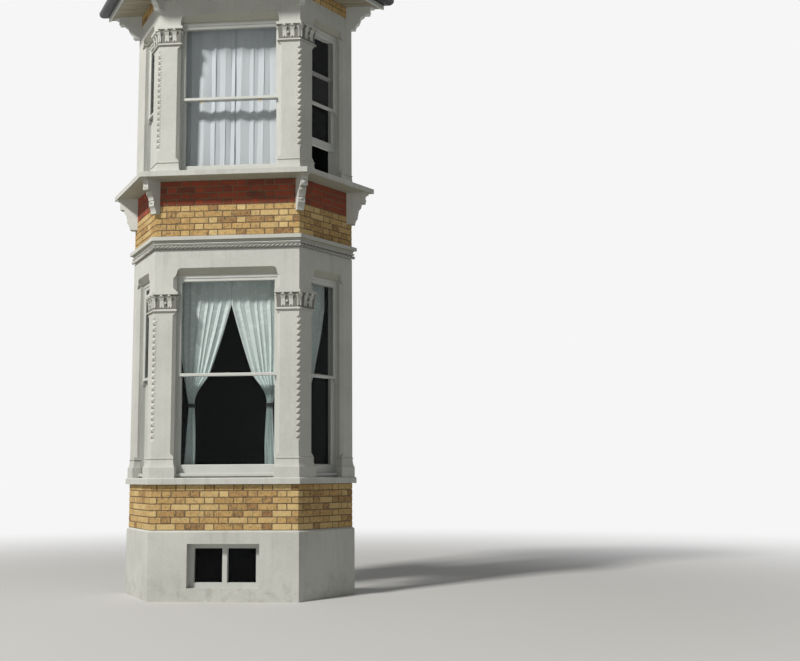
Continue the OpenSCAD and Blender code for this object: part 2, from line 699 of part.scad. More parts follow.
// A hole with bevelled edges: w wide and h high at the depth d, wider by bevel at the face
bevel = 9;
module bevelled_hole(w, h) intersection() {
    linear_extrude(h + 2 * bevel, center = true) polygon([
        [-w / 2 - bevel - slack, -slack], [w / 2 + bevel + slack, -slack], [w / 2, bevel],
        [w / 2, 2 * sash_t], [-w / 2, 2 * sash_t], [-w / 2, bevel]]);
    rotate([90, 0, 90]) linear_extrude(w + 2 * bevel, center = true) polygon([
        [-slack, -h / 2 - bevel - slack], [-slack, h / 2 + bevel + slack], [bevel, h / 2],
        [2 * sash_t, h / 2], [2 * sash_t, -h / 2], [bevel, -h / 2]]);
}

// One sash: z and h outside, then the rails below and above. The pane sits in a groove.
groove = 6;
module sash(w, y, z, h, low, high) difference() {
    translate([-w / 2, y, z]) cube([w, sash_t, h]);
    translate([0, y, z + low + (h - low - high) / 2]) bevelled_hole(w - 2 * stile_w, h - low - high);
    pane(w, y, z, h, low, high);
}
module pane(w, y, z, h, low, high)
    translate([-w / 2 + stile_w - groove, y + (sash_t - glass_t) / 2, z + low - groove])
        cube([w - 2 * stile_w + 2 * groove, glass_t, h - low - high + 2 * groove]);

// The curved horns that stiffen the upper sash's joints under its meeting rail
module horns(w, y, z) for (side = [0, 1]) mirror([side, 0, 0])
    translate([-w / 2, y + sash_t, z]) rotate([90, 0, 0]) linear_extrude(sash_t) difference() {
        translate([0, -horn_h]) square([stile_w - bevel, horn_h + slack]);
        translate([stile_w - bevel, -horn_h]) circle(horn_h / 2);
        translate([0.3 * stile_w, -horn_h - slack]) square(stile_w);
    }

outer_y = reveal + 8;
inner_y = outer_y + sash_t + 2;
module top_sash(w, h, glass) {
    z = meet_z(h) - meet_h / 2;
    if (glass) pane(sash_w(w), outer_y, z, h - frame_w - z, meet_h, stile_w);
    else {
        sash(sash_w(w), outer_y, z, h - frame_w - z, meet_h, stile_w);
        horns(sash_w(w), outer_y, z);
    }
}
module bottom_sash(w, h, glass, lift = 0) {
    z = timber_sill_h + lift;
    high = meet_z(h) + meet_h / 2 - timber_sill_h;
    if (glass) pane(sash_w(w), inner_y, z, high, bottom_rail_h, meet_h);
    else sash(sash_w(w), inner_y, z, high, bottom_rail_h, meet_h);
}

// The three windows of a storey, each drawn by the child for its own width
module storey_frames(z, h) {
    translate([0, 0, z]) on_front() sash_frame(front_open_w, h);
    both_sides() translate([0, 0, z]) on_right(side_open_u) sash_frame(side_open_w, h);
}
module storey_tops(z, h, glass) {
    translate([0, 0, z]) on_front() top_sash(front_open_w, h, glass);
    both_sides() translate([0, 0, z]) on_right(side_open_u) top_sash(side_open_w, h, glass);
}
module storey_bottoms(z, h, glass, lift) {
    translate([0, 0, z]) on_front() bottom_sash(front_open_w, h, glass);
    translate([0, 0, z]) on_right(side_open_u) bottom_sash(side_open_w, h, glass, lift);
    mirror([1, 0, 0]) translate([0, 0, z]) on_right(side_open_u) bottom_sash(side_open_w, h, glass);
}
module lower_sash_frames() color("ivory") storey_frames(lower_z, lower_open_h);
module lower_top_sashes() color("ivory") storey_tops(lower_z, lower_open_h, false);
module lower_bottom_sashes() color("ivory") storey_bottoms(lower_z, lower_open_h, false, 0);
module lower_glass() color("lightcyan", 0.5) {
    storey_tops(lower_z, lower_open_h, true);
    storey_bottoms(lower_z, lower_open_h, true, 0);
}
module upper_sash_frames() color("ivory") storey_frames(upper_z, upper_open_h);
module upper_top_sashes() color("ivory") storey_tops(upper_z, upper_open_h, false);
module upper_bottom_sashes() color("ivory") storey_bottoms(upper_z, upper_open_h, false, sash_lift);
module upper_glass() color("lightcyan", 0.5) {
    storey_tops(upper_z, upper_open_h, true);
    storey_bottoms(upper_z, upper_open_h, true, sash_lift);
}

// A catch on the meeting rail of each lower sash, and a ring pull under the front window's upper sash
catch_r = 14;
pull_r = 17;
pull_wire = 3;
pull_x = 0.28;
catch_base = 5;
catch_h = 14;
module catch(h, lift = 0) translate([0, inner_y + sash_t / 2, meet_z(h) + meet_h / 2 + lift]) {
    cylinder(r = catch_r, h = catch_base);
    cylinder(r = catch_r / 2, h = catch_h);
    translate([-catch_r / 4, 0, catch_h - catch_base]) cube([catch_r / 2, 2 * catch_r, catch_base]);
}
pull_base = 4;
module ring_pull(w, h) translate([0, outer_y + sash_t / 2, meet_z(h) - meet_h / 2]) {
    translate([0, 0, -pull_base]) cylinder(r = 2.5 * pull_base, h = pull_base);
    translate([0, 0, -pull_base - pull_r]) rotate([90, 0, 0])
        rotate_extrude() translate([pull_r, 0]) circle(pull_wire);
}
module sash_fittings() color("darkgoldenrod") {
    for (storey = [[lower_z, lower_open_h, 0], [upper_z, upper_open_h, sash_lift]])
        translate([0, 0, storey[0]]) {
            on_front() catch(storey[1]);
            on_right(side_open_u) catch(storey[1], storey[2]);
            mirror([1, 0, 0]) on_right(side_open_u) catch(storey[1]);
        }
    for (side = [-1, 1]) translate([side * pull_x * front_open_w, 0, upper_z]) on_front()
        ring_pull(front_open_w, upper_open_h);
}

// Curtain rails and curtains behind the windows
rail_t = 20;
rail_d = 75;
rail_gap = 8;
curtain_d = wall_t + 30;
curtain_t = 34;
hem_z = 40;
module lower_curtain_rail() color("white")
    bay_ring(-wall_t, -wall_t - rail_d, lower_head_z + rail_gap, rail_t);
module upper_curtain_rail() color("white")
    bay_ring(-wall_t, -wall_t - rail_d, upper_head_z + rail_gap, rail_t);

// A tied curtain in front view: its near and far edges at the height t, which is 1 at the rail, 0 at the
// band and -1 at the hem. The far edge swells out over the band and meets its neighbour below the rail.
tie_z = 850;
tie_near = 137;
tie_far = 204;
hem_near = 80;
band_h = 44;
meet_t = 0.78;
soft_t = 0.25;
function eased(s) = s < 1 ? s * s * (3 - 2 * s) : 1;
function rise(t) = pow(min(1, t / meet_t), 0.75) * eased(t / soft_t);
function near_x(t) = t > 0 ? tie_near * pow(1 - t, 2.5) : tie_near + (hem_near - tie_near) * -t;
function far_x(w, t) = t > 0 ? tie_far + (w - tie_far) * rise(t) : tie_far + 22 * sin(-150 * t);
function curtain_z(h, t) = t > 0 ? tie_z + (h - tie_z) * t : tie_z + (tie_z - hem_z) * t;
module tied_curtain(w, h) translate([0, curtain_d + curtain_t, 0])
    rotate([90, 0, 0]) linear_extrude(curtain_t) polygon(concat([for (t = [1:-0.05:-1]) [far_x(w, t), curtain_z(h, t)]],
        [for (t = [-1:0.1:1]) [near_x(t), curtain_z(h, t)]]));

// The cloth band round a tied curtain
band_gap = 7;
band_t = 6;
module tie_band() translate([tie_near, curtain_d, tie_z - band_h / 2]) difference() {
    translate([-band_gap - band_t, -band_t, 0])
        cube([tie_far - tie_near + 2 * (band_gap + band_t), curtain_t + 2 * band_t, band_h]);
    translate([-band_gap, 0, -slack])
        cube([tie_far - tie_near + 2 * band_gap, curtain_t, band_h + 2 * slack]);
}
// A place at the near side of each ground-floor window: half the front one, all of a side one
module at_lower_curtains() both_sides() translate([0, 0, lower_z]) {
    on_front() mirror([1, 0, 0]) translate([-front_open_w / 2, 0, 0]) children(0);
    on_right(side_pier_w) children(1);
}
module lower_curtains() color("honeydew") at_lower_curtains() {
    tied_curtain(front_open_w / 2 - 6, lower_open_h + rail_gap);
    tied_curtain(side_open_w - 40, lower_open_h + rail_gap);
}
module curtain_tie_bands() color("dimgray") at_lower_curtains() {
    tie_band();
    tie_band();
}

// The upper front window's pair of curtains, hanging in even folds
fold = 92;
fold_depth = 20;
cloth_t = 10;
function fold_y(x) = curtain_d + fold_depth / 2 * (1 + sin(360 * x / fold));
module upper_curtains() color("white") both_sides() on_front() {
    xs = [for (x = [6:fold / 6:front_open_w / 2]) x];
    translate([0, 0, upper_z + hem_z]) linear_extrude(upper_open_h + rail_gap - hem_z) polygon(concat(
        [for (x = xs) [x, fold_y(x)]], reversed([for (x = xs) [x, fold_y(x) + cloth_t]])));
}

plinth();
basement_window_frame();
basement_window_glass();
brick_band();
stone_sill();
ground_floor();
lower_corner_piers();
lower_wall_piers();
lower_capitals();
lower_dogtooth();
lower_lintel();
cornice();
rope_moulding();
lower_sash_frames();
lower_top_sashes();
lower_bottom_sashes();
lower_glass();
lower_curtain_rail();
lower_curtains();
curtain_tie_bands();
brick_apron();
first_floor();
sill_slab();
slab_brackets();
upper_corner_piers();
upper_wall_piers();
upper_capitals();
upper_dogtooth();
upper_lintel();
eaves_brickwork();
upper_sash_frames();
upper_top_sashes();
upper_bottom_sashes();
upper_glass();
sash_fittings();
upper_curtain_rail();
upper_curtains();
ceiling();
eaves_soffit();
eaves_brackets();
fascia_board();
gutter();
roof_slopes();
lead_hips();
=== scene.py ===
"""Dresses the two-storey canted bay window: brickwork, slates, paint, glass, curtains and light."""
from __future__ import annotations

import logging
import math
import random
from contextlib import contextmanager
from dataclasses import dataclass
from enum import Enum
from typing import Callable, Iterator, Sequence

import bpy
from mathutils import Matrix, Vector


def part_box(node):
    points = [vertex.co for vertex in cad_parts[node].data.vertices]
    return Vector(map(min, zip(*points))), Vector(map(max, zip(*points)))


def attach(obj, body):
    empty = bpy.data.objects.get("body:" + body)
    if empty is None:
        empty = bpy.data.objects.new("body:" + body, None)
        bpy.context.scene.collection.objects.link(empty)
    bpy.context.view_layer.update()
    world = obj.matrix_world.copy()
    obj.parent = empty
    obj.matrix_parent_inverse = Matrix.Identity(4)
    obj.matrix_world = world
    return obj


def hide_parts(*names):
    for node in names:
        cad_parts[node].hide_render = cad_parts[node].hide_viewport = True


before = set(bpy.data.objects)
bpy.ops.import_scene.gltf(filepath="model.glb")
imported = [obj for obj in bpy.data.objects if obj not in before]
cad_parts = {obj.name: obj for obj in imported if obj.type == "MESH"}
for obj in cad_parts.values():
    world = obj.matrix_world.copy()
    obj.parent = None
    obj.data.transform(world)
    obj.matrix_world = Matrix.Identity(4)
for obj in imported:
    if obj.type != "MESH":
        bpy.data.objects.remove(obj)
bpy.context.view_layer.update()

log = logging.getLogger("bay_window")
Colour = tuple[float, float, float]
Plane = tuple[tuple[float, float, float], tuple[float, float, float]]


# Shader maths


class Num:
    """A number that varies over a surface, with Python's operators."""

    def __init__(self, graph: Graph, socket: bpy.types.NodeSocket) -> None:
        """Wraps an output socket of a graph."""
        self.graph = graph
        self.socket = socket

    def _math(self, operation: str, *values: Num | float, clamp: bool = False) -> Num:
        """Adds one Math node.

        Args:
            operation: the node's operation.
            values: its inputs in order, numbers or wrapped sockets.
            clamp: whether the result is held between 0 and 1.

        Returns:
            The wrapped result.
        """
        return self.graph.num("Math", {"operation": operation, "use_clamp": clamp}, dict(enumerate(values)))

    def __add__(self, other: Num | float) -> Num:
        """Adds."""
        return self._math("ADD", self, other)

    __radd__ = __add__

    def __sub__(self, other: Num | float) -> Num:
        """Subtracts."""
        return self._math("SUBTRACT", self, other)

    def __rsub__(self, other: Num | float) -> Num:
        """Subtracts from a number."""
        return self._math("SUBTRACT", other, self)

    def __mul__(self, other: Num | float) -> Num:
        """Multiplies."""
        return self._math("MULTIPLY", self, other)

    __rmul__ = __mul__

    def __truediv__(self, other: Num | float) -> Num:
        """Divides."""
        return self._math("DIVIDE", self, other)

    def fract(self) -> Num:
        """The part after the point."""
        return self._math("FRACT", self)

    def absolute(self) -> Num:
        """The size without its sign."""
        return self._math("ABSOLUTE", self)

    def larger(self, other: Num | float) -> Num:
        """The larger of two."""
        return self._math("MAXIMUM", self, other)

    def cosine(self) -> Num:
        """The cosine, of radians."""
        return self._math("COSINE", self)

    def angle_over(self, run: Num) -> Num:
        """The angle, in radians, of a slope that rises by this over a run."""
        return self._math("ARCTAN2", self, run)

    def clamped(self) -> Num:
        """Held between 0 and 1."""
        return self._math("ADD", self, 0.0, clamp=True)

    def over(self, low: float, high: float) -> Num:
        """0 under low and 1 over high, with a smooth rise between them."""
        return self.graph.num("MapRange", {"interpolation_type": "SMOOTHSTEP"},
                              {"Value": self, "From Min": low, "From Max": high})

    def ridges(self, count: float) -> Num:
        """A pointed ridge from 0 to 1, repeated count times for each unit."""
        return 1.0 - ((self * count).fract() - 0.5).absolute() * 2.0


class Graph:
    """The nodes of one material or world."""

    def __init__(self, tree: bpy.types.NodeTree) -> None:
        """Empties a node tree for a start."""
        self.tree = tree
        tree.nodes.clear()

    def node(self, kind: str, settings: dict[str, object] | None = None,
             inputs: dict[str | int, object] | None = None) -> bpy.types.Node:
        """Adds any node.

        Args:
            kind: the node's type, without its ShaderNode start.
            settings: attributes set first.
            inputs: values, wrapped numbers or sockets, by the input's name or place.

        Returns:
            The node.
        """
        made = self.tree.nodes.new("ShaderNode" + kind)
        for key, value in (settings or {}).items():
            setattr(made, key, value)
        for key, value in (inputs or {}).items():
            self.feed(made.inputs[key], value)
        return made

    def num(self, kind: str, settings: dict[str, object] | None = None,
            inputs: dict[str | int, object] | None = None, output: str | int = 0) -> Num:
        """Adds any node and wraps one of its outputs.

        Args:
            kind: as for node.
            settings: as for node.
            inputs: as for node.
            output: the output's name or place.

        Returns:
            The wrapped output.
        """
        return Num(self, self.node(kind, settings, inputs).outputs[output])

    def feed(self, slot: bpy.types.NodeSocket, value: object) -> None:
        """Links something to an input, or sets the input.

        Args:
            slot: the input.
            value: a wrapped number, a socket, a plain value, or a colour without its alpha.
        """
        if isinstance(value, Num):
            value = value.socket
        if isinstance(value, bpy.types.NodeSocket):
            self.tree.links.new(value, slot)
        elif slot.type == "RGBA":
            slot.default_value = (*value, 1.0)
        else:
            slot.default_value = value

    def seen(self) -> Num:
        """1 for what the camera sees, straight, mirrored or through glass, 0 for light on the object."""
        rays = self.node("LightPath").outputs
        straight, mirrored, through = (Num(self, rays[kind]) for kind in (
            "Is Camera Ray", "Is Glossy Ray", "Is Transmission Ray"))
        return (straight + mirrored + through).clamped()


class Finisher(Graph):
    """Builds one material's nodes round a Principled shader."""

    def __init__(self, name: str) -> None:
        """Starts a material of the given name."""
        self.material = bpy.data.materials.new(name)
        self.material.use_nodes = True
        super().__init__(self.material.node_tree)
        self.surface = self.node("BsdfPrincipled")
        self.output = self.node("OutputMaterial", inputs={"Surface": self.surface.outputs[0]})

    def place(self) -> bpy.types.NodeSocket:
        """The point in the part's own frame, in metres."""
        return self.node("TexCoord").outputs["Object"]

    def axes(self, vector: bpy.types.NodeSocket | None = None) -> tuple[Num, Num, Num]:
        """Splits a vector.

        Args:
            vector: the vector, or none for the place.

        Returns:
            Its X, Y and Z.
        """
        split = self.node("SeparateXYZ", inputs={0: vector or self.place()})
        return tuple(Num(self, part) for part in split.outputs)

    def underside(self) -> Num:
        """1 on faces that look down, 0 on walls and tops."""
        up = self.axes(self.node("NewGeometry").outputs["True Normal"])[2]
        return (0.0 - up).over(0.35, 0.85)

    def stretched(self, scale: Colour) -> bpy.types.NodeSocket:
        """The place, scaled along each axis."""
        return self.node("VectorMath", {"operation": "MULTIPLY"}, {0: self.place(), 1: scale}).outputs[0]

    def noise(self, scale: float, detail: float, rough: float,
              at: bpy.types.NodeSocket | None = None) -> Num:
        """Cloudy noise between about 0.25 and 0.75.

        Args:
            scale: waves a metre.
            detail: octaves.
            rough: how much the fine octaves count.
            at: the vector it is read at, or the place.

        Returns:
            The wrapped noise.
        """
        return self.num("TexNoise", inputs={"Vector": at or self.place(), "Scale": scale, "Detail": detail,
                                            "Roughness": rough})

    def attribute(self, name: str) -> Num:
        """A number kept on the mesh."""
        return self.num("Attribute", {"attribute_name": name}, output="Fac")

    def mix(self, factor: Num | float, first: object, second: object) -> bpy.types.NodeSocket:
        """Mixes two colours.

        Args:
            factor: how much of the second shows.
            first: a colour or a colour socket.
            second: a colour or a colour socket.

        Returns:
            The colour socket.
        """
        return self.node("Mix", {"data_type": "RGBA"}, {0: factor, 6: first, 7: second}).outputs[2]

    def ramp(self, factor: Num, stops: Sequence[tuple[float, Colour]]) -> bpy.types.NodeSocket:
        """Adds a colour ramp.

        Args:
            factor: where on the ramp each point is read.
            stops: places on the ramp and their colours.

        Returns:
            The colour socket.
        """
        made = self.node("ValToRGB", inputs={0: factor})
        marks = made.color_ramp.elements
        while len(marks) < len(stops):
            marks.new(1.0)
        for mark, (where, colour) in zip(marks, stops):
            mark.position = where
            mark.color = (*colour, 1.0)
        return made.outputs[0]

    def bump(self, height: Num, depth: float) -> None:
        """Raises the surface by height times depth metres, in its shading."""
        made = self.node("Bump", inputs={"Height": height, "Distance": depth, "Strength": 1.0})
        self.feed(self.surface.inputs["Normal"], made.outputs[0])

    def drive(self, **values: object) -> None:
        """Sets or links inputs of the Principled shader; an underscore stands for a space."""
        for key, value in values.items():
            self.feed(self.surface.inputs[key.replace("_", " ")], value)

    def veil(self, factor: object, shader: bpy.types.Node) -> None:
        """Shows another shader in place of the Principled one, as far as the factor says."""
        blend = self.node("MixShader", inputs={0: factor, 1: self.surface.outputs[0], 2: shader.outputs[0]})
        self.feed(self.output.inputs["Surface"], blend.outputs[0])


def tinted(colour: Colour, factor: float) -> Colour:
    """A colour made darker or paler, and never over 1."""
    return tuple(min(1.0, factor * c) for c in colour)


# Finishes


@dataclass(frozen=True)
class StonePaint:
    """Old masonry paint on stone and stucco: chalky, streaked by rain under the ledges, and with painted
    shade, an olive grey, on the faces that look down.
    """

    name: str = "painted_stone"
    colour: Colour = (0.488, 0.493, 0.459)
    chalk: Colour = (0.72, 0.71, 0.67)
    grime: Colour = (0.25, 0.24, 0.20)
    underside_shade: Colour = (0.27, 0.26, 0.165)
    hollow_shade_colour: Colour = (0.075, 0.07, 0.06)
    ledges: tuple[float, ...] = (0.80, 1.40, 4.085, 4.99, 7.35)
    drip_reach: float = 0.42
    splash_top: float = 0.45
    underside_shade_share: float = 0.65
    relief: float = 0.0032

    def build(self) -> bpy.types.Material:
        """Makes the material."""
        f = Finisher(self.name)
        cloud = f.noise(1.7, 5.0, 0.6)
        fine = f.noise(26.0, 4.0, 0.65)
        pits = f.noise(75.0, 3.0, 0.7).over(0.60, 0.74)
        tone = f.mix(cloud.over(0.35, 0.65), tinted(self.colour, 0.93), tinted(self.colour, 1.05))
        tone = f.mix(fine.over(0.4, 0.62) * 0.10, tone, self.chalk)
        tone = f.mix(self.dirt(f), tone, self.grime)
        # Painted shade: faces that look down are darkened towards an olive grey.
        tone = f.mix(f.underside() * self.underside_shade_share, tone, self.underside_shade)
        # Painted shade in carved hollows; plain stone has none.
        f.drive(Base_Color=f.mix(self.hollows(f), tone, self.hollow_shade_colour),
                Roughness=fine.over(0.3, 0.7) * 0.14 + 0.62, Specular_IOR_Level=0.35)
        f.bump(fine * 0.6 + cloud * 0.5 - pits * 0.35, self.relief)
        return f.material

    def dirt(self, f: Finisher) -> Num:
        """Rain streaks under the ledges, spots, and splashes near the ground.

        Args:
            f: the material's builder.

        Returns:
            How dirty each point is.
        """
        z = f.axes()[2]
        streak = f.noise(1.0, 4.0, 0.6, f.stretched((16.0, 16.0, 0.9)))
        spots = f.noise(9.0, 6.0, 0.75)
        below: Num | float = 0.0
        for level in self.ledges:
            near = (z - (level - self.drip_reach)).over(0.0, self.drip_reach - 0.02)
            below = near * (1.0 - (z - level).over(-0.01, 0.01)) + below
        drips = streak.over(0.50, 0.68) * (0.35 + below * 0.65)
        splash = 1.0 - z.over(0.02, self.splash_top)
        return (drips * 0.22 + spots.over(0.60, 0.76) * 0.22
                + splash * spots.over(0.45, 0.65) * 0.32).clamped()

    def hollows(self, f: Finisher) -> Num | float:
        """How much painted shade lies in carved hollows at each point: none on plain stone."""
        return 0.0


@dataclass(frozen=True)
class CarvedPaint(StonePaint):
    """The same paint on the capitals, with painted shade on the bell behind the leaves."""

    name: str = "painted_carving"
    foot: float = 0.0
    bell_height: float = 0.164
    bell_foot: float = 0.004
    bell_swell: float = 0.010
    soot_and_shade: float = 0.80
    plan: BayPlan | None = None

    def hollows(self, f: Finisher) -> Num:
        """Painted shade where the surface lies back against the bell, between the neck and the abacus.

        Args:
            f: the material's builder.

        Returns:
            How much painted shade shows at each point.
        """
        x, y, z = f.axes()
        front_out, slant_out = self.plan.outs(x.absolute(), y)
        rise = (z - self.foot) / self.bell_height
        relief = front_out.larger(slant_out) - rise * rise * self.bell_swell - self.bell_foot
        zone = rise.over(-0.02, 0.02) * (1.0 - rise.over(1.0, 1.06))
        # Painted shade in the gaps between the leaves.
        return zone * relief.over(-0.008, -0.004) * (1.0 - relief.over(0.0006, 0.0026)) * self.soot_and_shade


@dataclass(frozen=True)
class RopePaint(StonePaint):
    """The same paint on the rope moulding, with painted shade along the grooves between its strands."""

    name: str = "painted_rope"
    middle_z: float = 4.11
    inner: float = 0.0144
    turn: float = 0.1606
    grooves: float = 3.0
    soot_and_shade: float = 0.85
    plan: BayPlan | None = None

    def hollows(self, f: Finisher) -> Num:
        """Follows the grooves that wind round the rope.

        Args:
            f: the material's builder.

        Returns:
            How much painted shade shows at each point.
        """
        p = self.plan
        x, y, z = f.axes()
        wide = x.absolute()
        front_out, slant_out = p.outs(wide, y)
        is_side = (wide - p.half_front - 0.012).over(-0.002, 0.002)
        slant = (wide - p.half_front) * math.cos(p.angle) + (y - p.front_y) * math.sin(p.angle)
        along = (x + p.half_front) * (1.0 - is_side) + slant * is_side
        out = front_out * (1.0 - is_side) + slant_out * is_side
        angle = (z - self.middle_z).angle_over(out - self.inner)
        wound = (angle - along * (math.tau / self.turn)) * (self.grooves / 2)
        # Painted shade along the grooves that wind round the rope.
        return wound.cosine().absolute().over(0.62, 0.97) * self.soot_and_shade


@dataclass(frozen=True)
class BrickFace:
    """London stock brick, or the red facing brick, told apart by the 'red' attribute of each brick."""

    dark: Colour = (0.27, 0.145, 0.06)
    middle: Colour = (0.50, 0.325, 0.125)
    pale: Colour = (0.58, 0.425, 0.195)
    red: Colour = (0.36, 0.074, 0.034)
    deep_red: Colour = (0.20, 0.048, 0.027)
    soot_and_shade: Colour = (0.085, 0.065, 0.045)
    lime: Colour = (0.72, 0.66, 0.54)
    relief: float = 0.005

    def build(self) -> bpy.types.Material:
        """Makes the material."""
        f = Finisher("stock_brick")
        tone = f.attribute("tone")
        grain = f.noise(38.0, 5.0, 0.75)
        blotch = f.noise(13.0, 4.0, 0.6)
        edge = f.noise(23.0, 6.0, 0.75).over(0.52, 0.66)
        shade = (tone * 0.78 + blotch.over(0.3, 0.7) * 0.22).clamped()
        stock = f.ramp(shade, [(0.0, self.dark), (0.42, self.middle), (0.78, self.pale),
                               (1.0, tinted(self.pale, 1.12))])
        base = f.mix(f.attribute("red"), stock, f.mix(shade, self.deep_red, self.red))
        sooty = grain.over(0.50, 0.62) * 0.62 + blotch.over(0.55, 0.70) * 0.42 + edge * 0.36
        # The bricks' own soot, in random patches: real dirt, not shade.
        worn = f.mix(sooty.clamped() * (1.25 - tone), base, self.soot_and_shade)
        limed = f.noise(120.0, 2.0, 0.6).over(0.66, 0.74) * 0.35
        f.drive(Base_Color=f.mix(limed, worn, self.lime), Roughness=grain * 0.2 + 0.78,
                Specular_IOR_Level=0.3)
        f.bump(grain + f.noise(140.0, 2.0, 0.6) * 0.5, self.relief)
        return f.material


@dataclass(frozen=True)
class Mortar:
    """Lime mortar, gritty and weathered dark in places."""

    colour: Colour = (0.235, 0.175, 0.105)
    stain: Colour = (0.085, 0.065, 0.045)
    relief: float = 0.003

    def build(self) -> bpy.types.Material:
        """Makes the material."""
        f = Finisher("mortar")
        grit = f.noise(180.0, 3.0, 0.7)
        stained = f.noise(5.0, 5.0, 0.65).over(0.45, 0.68) * 0.55
        sandy = f.mix(grit, tinted(self.colour, 0.8), self.colour)
        f.drive(Base_Color=f.mix(stained, sandy, self.stain), Roughness=0.92, Specular_IOR_Level=0.2)
        f.bump(grit, self.relief)
        return f.material


@dataclass(frozen=True)
class Gloss:
    """Oil paint on timber or plaster, brushed along, with a little grime in spots."""

    name: str
    colour: Colour
    roughness: float = 0.34
    wear: float = 0.5
    relief: float = 0.0009

    def build(self) -> bpy.types.Material:
        """Makes the material."""
        f = Finisher(self.name)
        brush = f.noise(1.0, 3.0, 0.5, f.stretched((60.0, 60.0, 4.0)))
        patch = f.noise(3.2, 4.0, 0.6)
        soil = f.noise(21.0, 6.0, 0.72).over(0.62, 0.76) * 0.35 * self.wear
        base = f.mix(patch.over(0.3, 0.7), tinted(self.colour, 0.93), self.colour)
        f.drive(Base_Color=f.mix(soil, base, tinted(self.colour, 0.42)),
                Roughness=patch * 0.16 + (self.roughness - 0.05), Specular_IOR_Level=0.5)
        f.bump(brush + f.noise(90.0, 2.0, 0.6) * 0.3, self.relief)
        return f.material


@dataclass(frozen=True)
class SlateFace:
    """Roofing slate, each slate with its own tone, riven along its length."""

    pale: Colour = (0.155, 0.165, 0.185)
    dark: Colour = (0.062, 0.068, 0.082)
    lichen: Colour = (0.30, 0.31, 0.20)
    relief: float = 0.0035

    def build(self) -> bpy.types.Material:
        """Makes the material."""
        f = Finisher("roof_slate")
        riven = f.noise(30.0, 6.0, 0.65)
        shade = (f.attribute("tone") * 0.75 + f.noise(6.0, 3.0, 0.5) * 0.3).clamped()
        growth = f.noise(15.0, 7.0, 0.8).over(0.60, 0.72) * 0.4
        f.drive(Base_Color=f.mix(growth, f.mix(shade, self.dark, self.pale), self.lichen),
                Roughness=riven * 0.3 + 0.42, Specular_IOR_Level=0.45)
        f.bump(riven + f.noise(110.0, 3.0, 0.6) * 0.3, self.relief)
        return f.material


@dataclass(frozen=True)
class Metal:
    """Lead sheet, brass or painted iron."""

    name: str
    colour: Colour
    dull: Colour
    metallic: float
    roughness: float
    relief: float = 0.0016

    def build(self) -> bpy.types.Material:
        """Makes the material."""
        f = Finisher(self.name)
        bloom = f.noise(8.0, 6.0, 0.7)
        scuff = f.noise(55.0, 4.0, 0.7)
        f.drive(Base_Color=f.mix(bloom.over(0.42, 0.62) * 0.7, self.colour, self.dull),
                Metallic=self.metallic, Roughness=bloom * 0.2 + scuff * 0.1 + (self.roughness - 0.15))
        f.bump(scuff + bloom, self.relief)
        return f.material


@dataclass(frozen=True)
class Planks:
    """Boards of one width that run along one axis, with open joints and a grain."""

    name: str
    colour: Colour
    width: float = 0.14
    across_x: bool = True
    plastered: bool = False
    gap: Colour = (0.03, 0.025, 0.02)
    plaster: Colour = (0.62, 0.61, 0.57)
    relief: float = 0.002

    def build(self) -> bpy.types.Material:
        """Makes the material."""
        f = Finisher(self.name)
        x, y, _ = f.axes()
        lane = (x if self.across_x else y) / self.width + 100.0
        joint = 1.0 - (lane.fract() - 0.5).absolute().over(0.47, 0.49)
        own = f.num("TexWhiteNoise", {"noise_dimensions": "1D"}, {"W": lane - lane.fract()})
        along = (40.0, 3.0, 40.0) if self.across_x else (3.0, 40.0, 40.0)
        grain = f.noise(1.0, 5.0, 0.65, f.stretched(along))
        tone = f.mix(grain.over(0.35, 0.68), self.colour, tinted(self.colour, 0.62))
        tone = f.mix(own * 0.3, tone, tinted(self.colour, 0.7))
        tone = f.mix(joint, self.gap, tone)
        if self.plastered:
            tone = f.mix(f.underside(), tone, self.plaster)
        f.drive(Base_Color=tone, Roughness=grain * 0.2 + 0.38)
        f.bump(joint * 2.0 + grain * 0.3, self.relief)
        return f.material


@dataclass(frozen=True)
class Cloth:
    """Thin curtain cloth with a woven thread, and figured lace where asked."""

    name: str
    colour: Colour
    lace: float = 0.0
    opacity: float = 1.0
    threads: float = 900.0
    flowers: float = 13.0
    relief: float = 0.0012

    def build(self) -> bpy.types.Material:
        """Makes the material."""
        f = Finisher(self.name)
        uv = f.node("TexCoord").outputs["UV"]
        u, v, _ = f.axes(uv)
        weave = (u.ridges(self.threads) + v.ridges(self.threads)) * 0.5
        flower = f.num("TexVoronoi", {"feature": "F1"}, {"Vector": uv, "Scale": self.flowers}, "Distance")
        vine = f.noise(34.0, 3.0, 0.6, uv).over(0.40, 0.52)
        figure = (1.0 - flower.over(0.30, 0.36)) * vine * self.lace
        f.drive(Base_Color=f.mix(figure, self.colour, tinted(self.colour, 1.16)), Roughness=0.9,
                Specular_IOR_Level=0.2, Sheen_Weight=0.2, Alpha=(figure * 0.4 + self.opacity).clamped())
        f.bump(weave * 0.3 + figure, self.relief)
        return f.material


@dataclass(frozen=True)
class WindowGlass:
    """Old drawn glass: clear with a dark tint, more of a mirror at a slant, and faintly rippled."""

    dark: Colour = (0.012, 0.014, 0.014)
    tint: float = 0.09
    mirror: float = 0.70
    slant_blend: float = 0.12
    relief: float = 0.0022

    def build(self) -> bpy.types.Material:
        """Makes the material."""
        f = Finisher("window_glass")
        slant = f.num("LayerWeight", inputs={"Blend": self.slant_blend}, output="Fresnel")
        dust = f.noise(14.0, 5.0, 0.7).over(0.60, 0.76) * 0.03
        f.drive(Base_Color=self.dark, Roughness=dust + 0.012, Specular_IOR_Level=0.4,
                Alpha=(slant * self.mirror + dust + self.tint).clamped())
        f.bump(f.noise(2.6, 2.0, 0.5), self.relief)
        return f.material


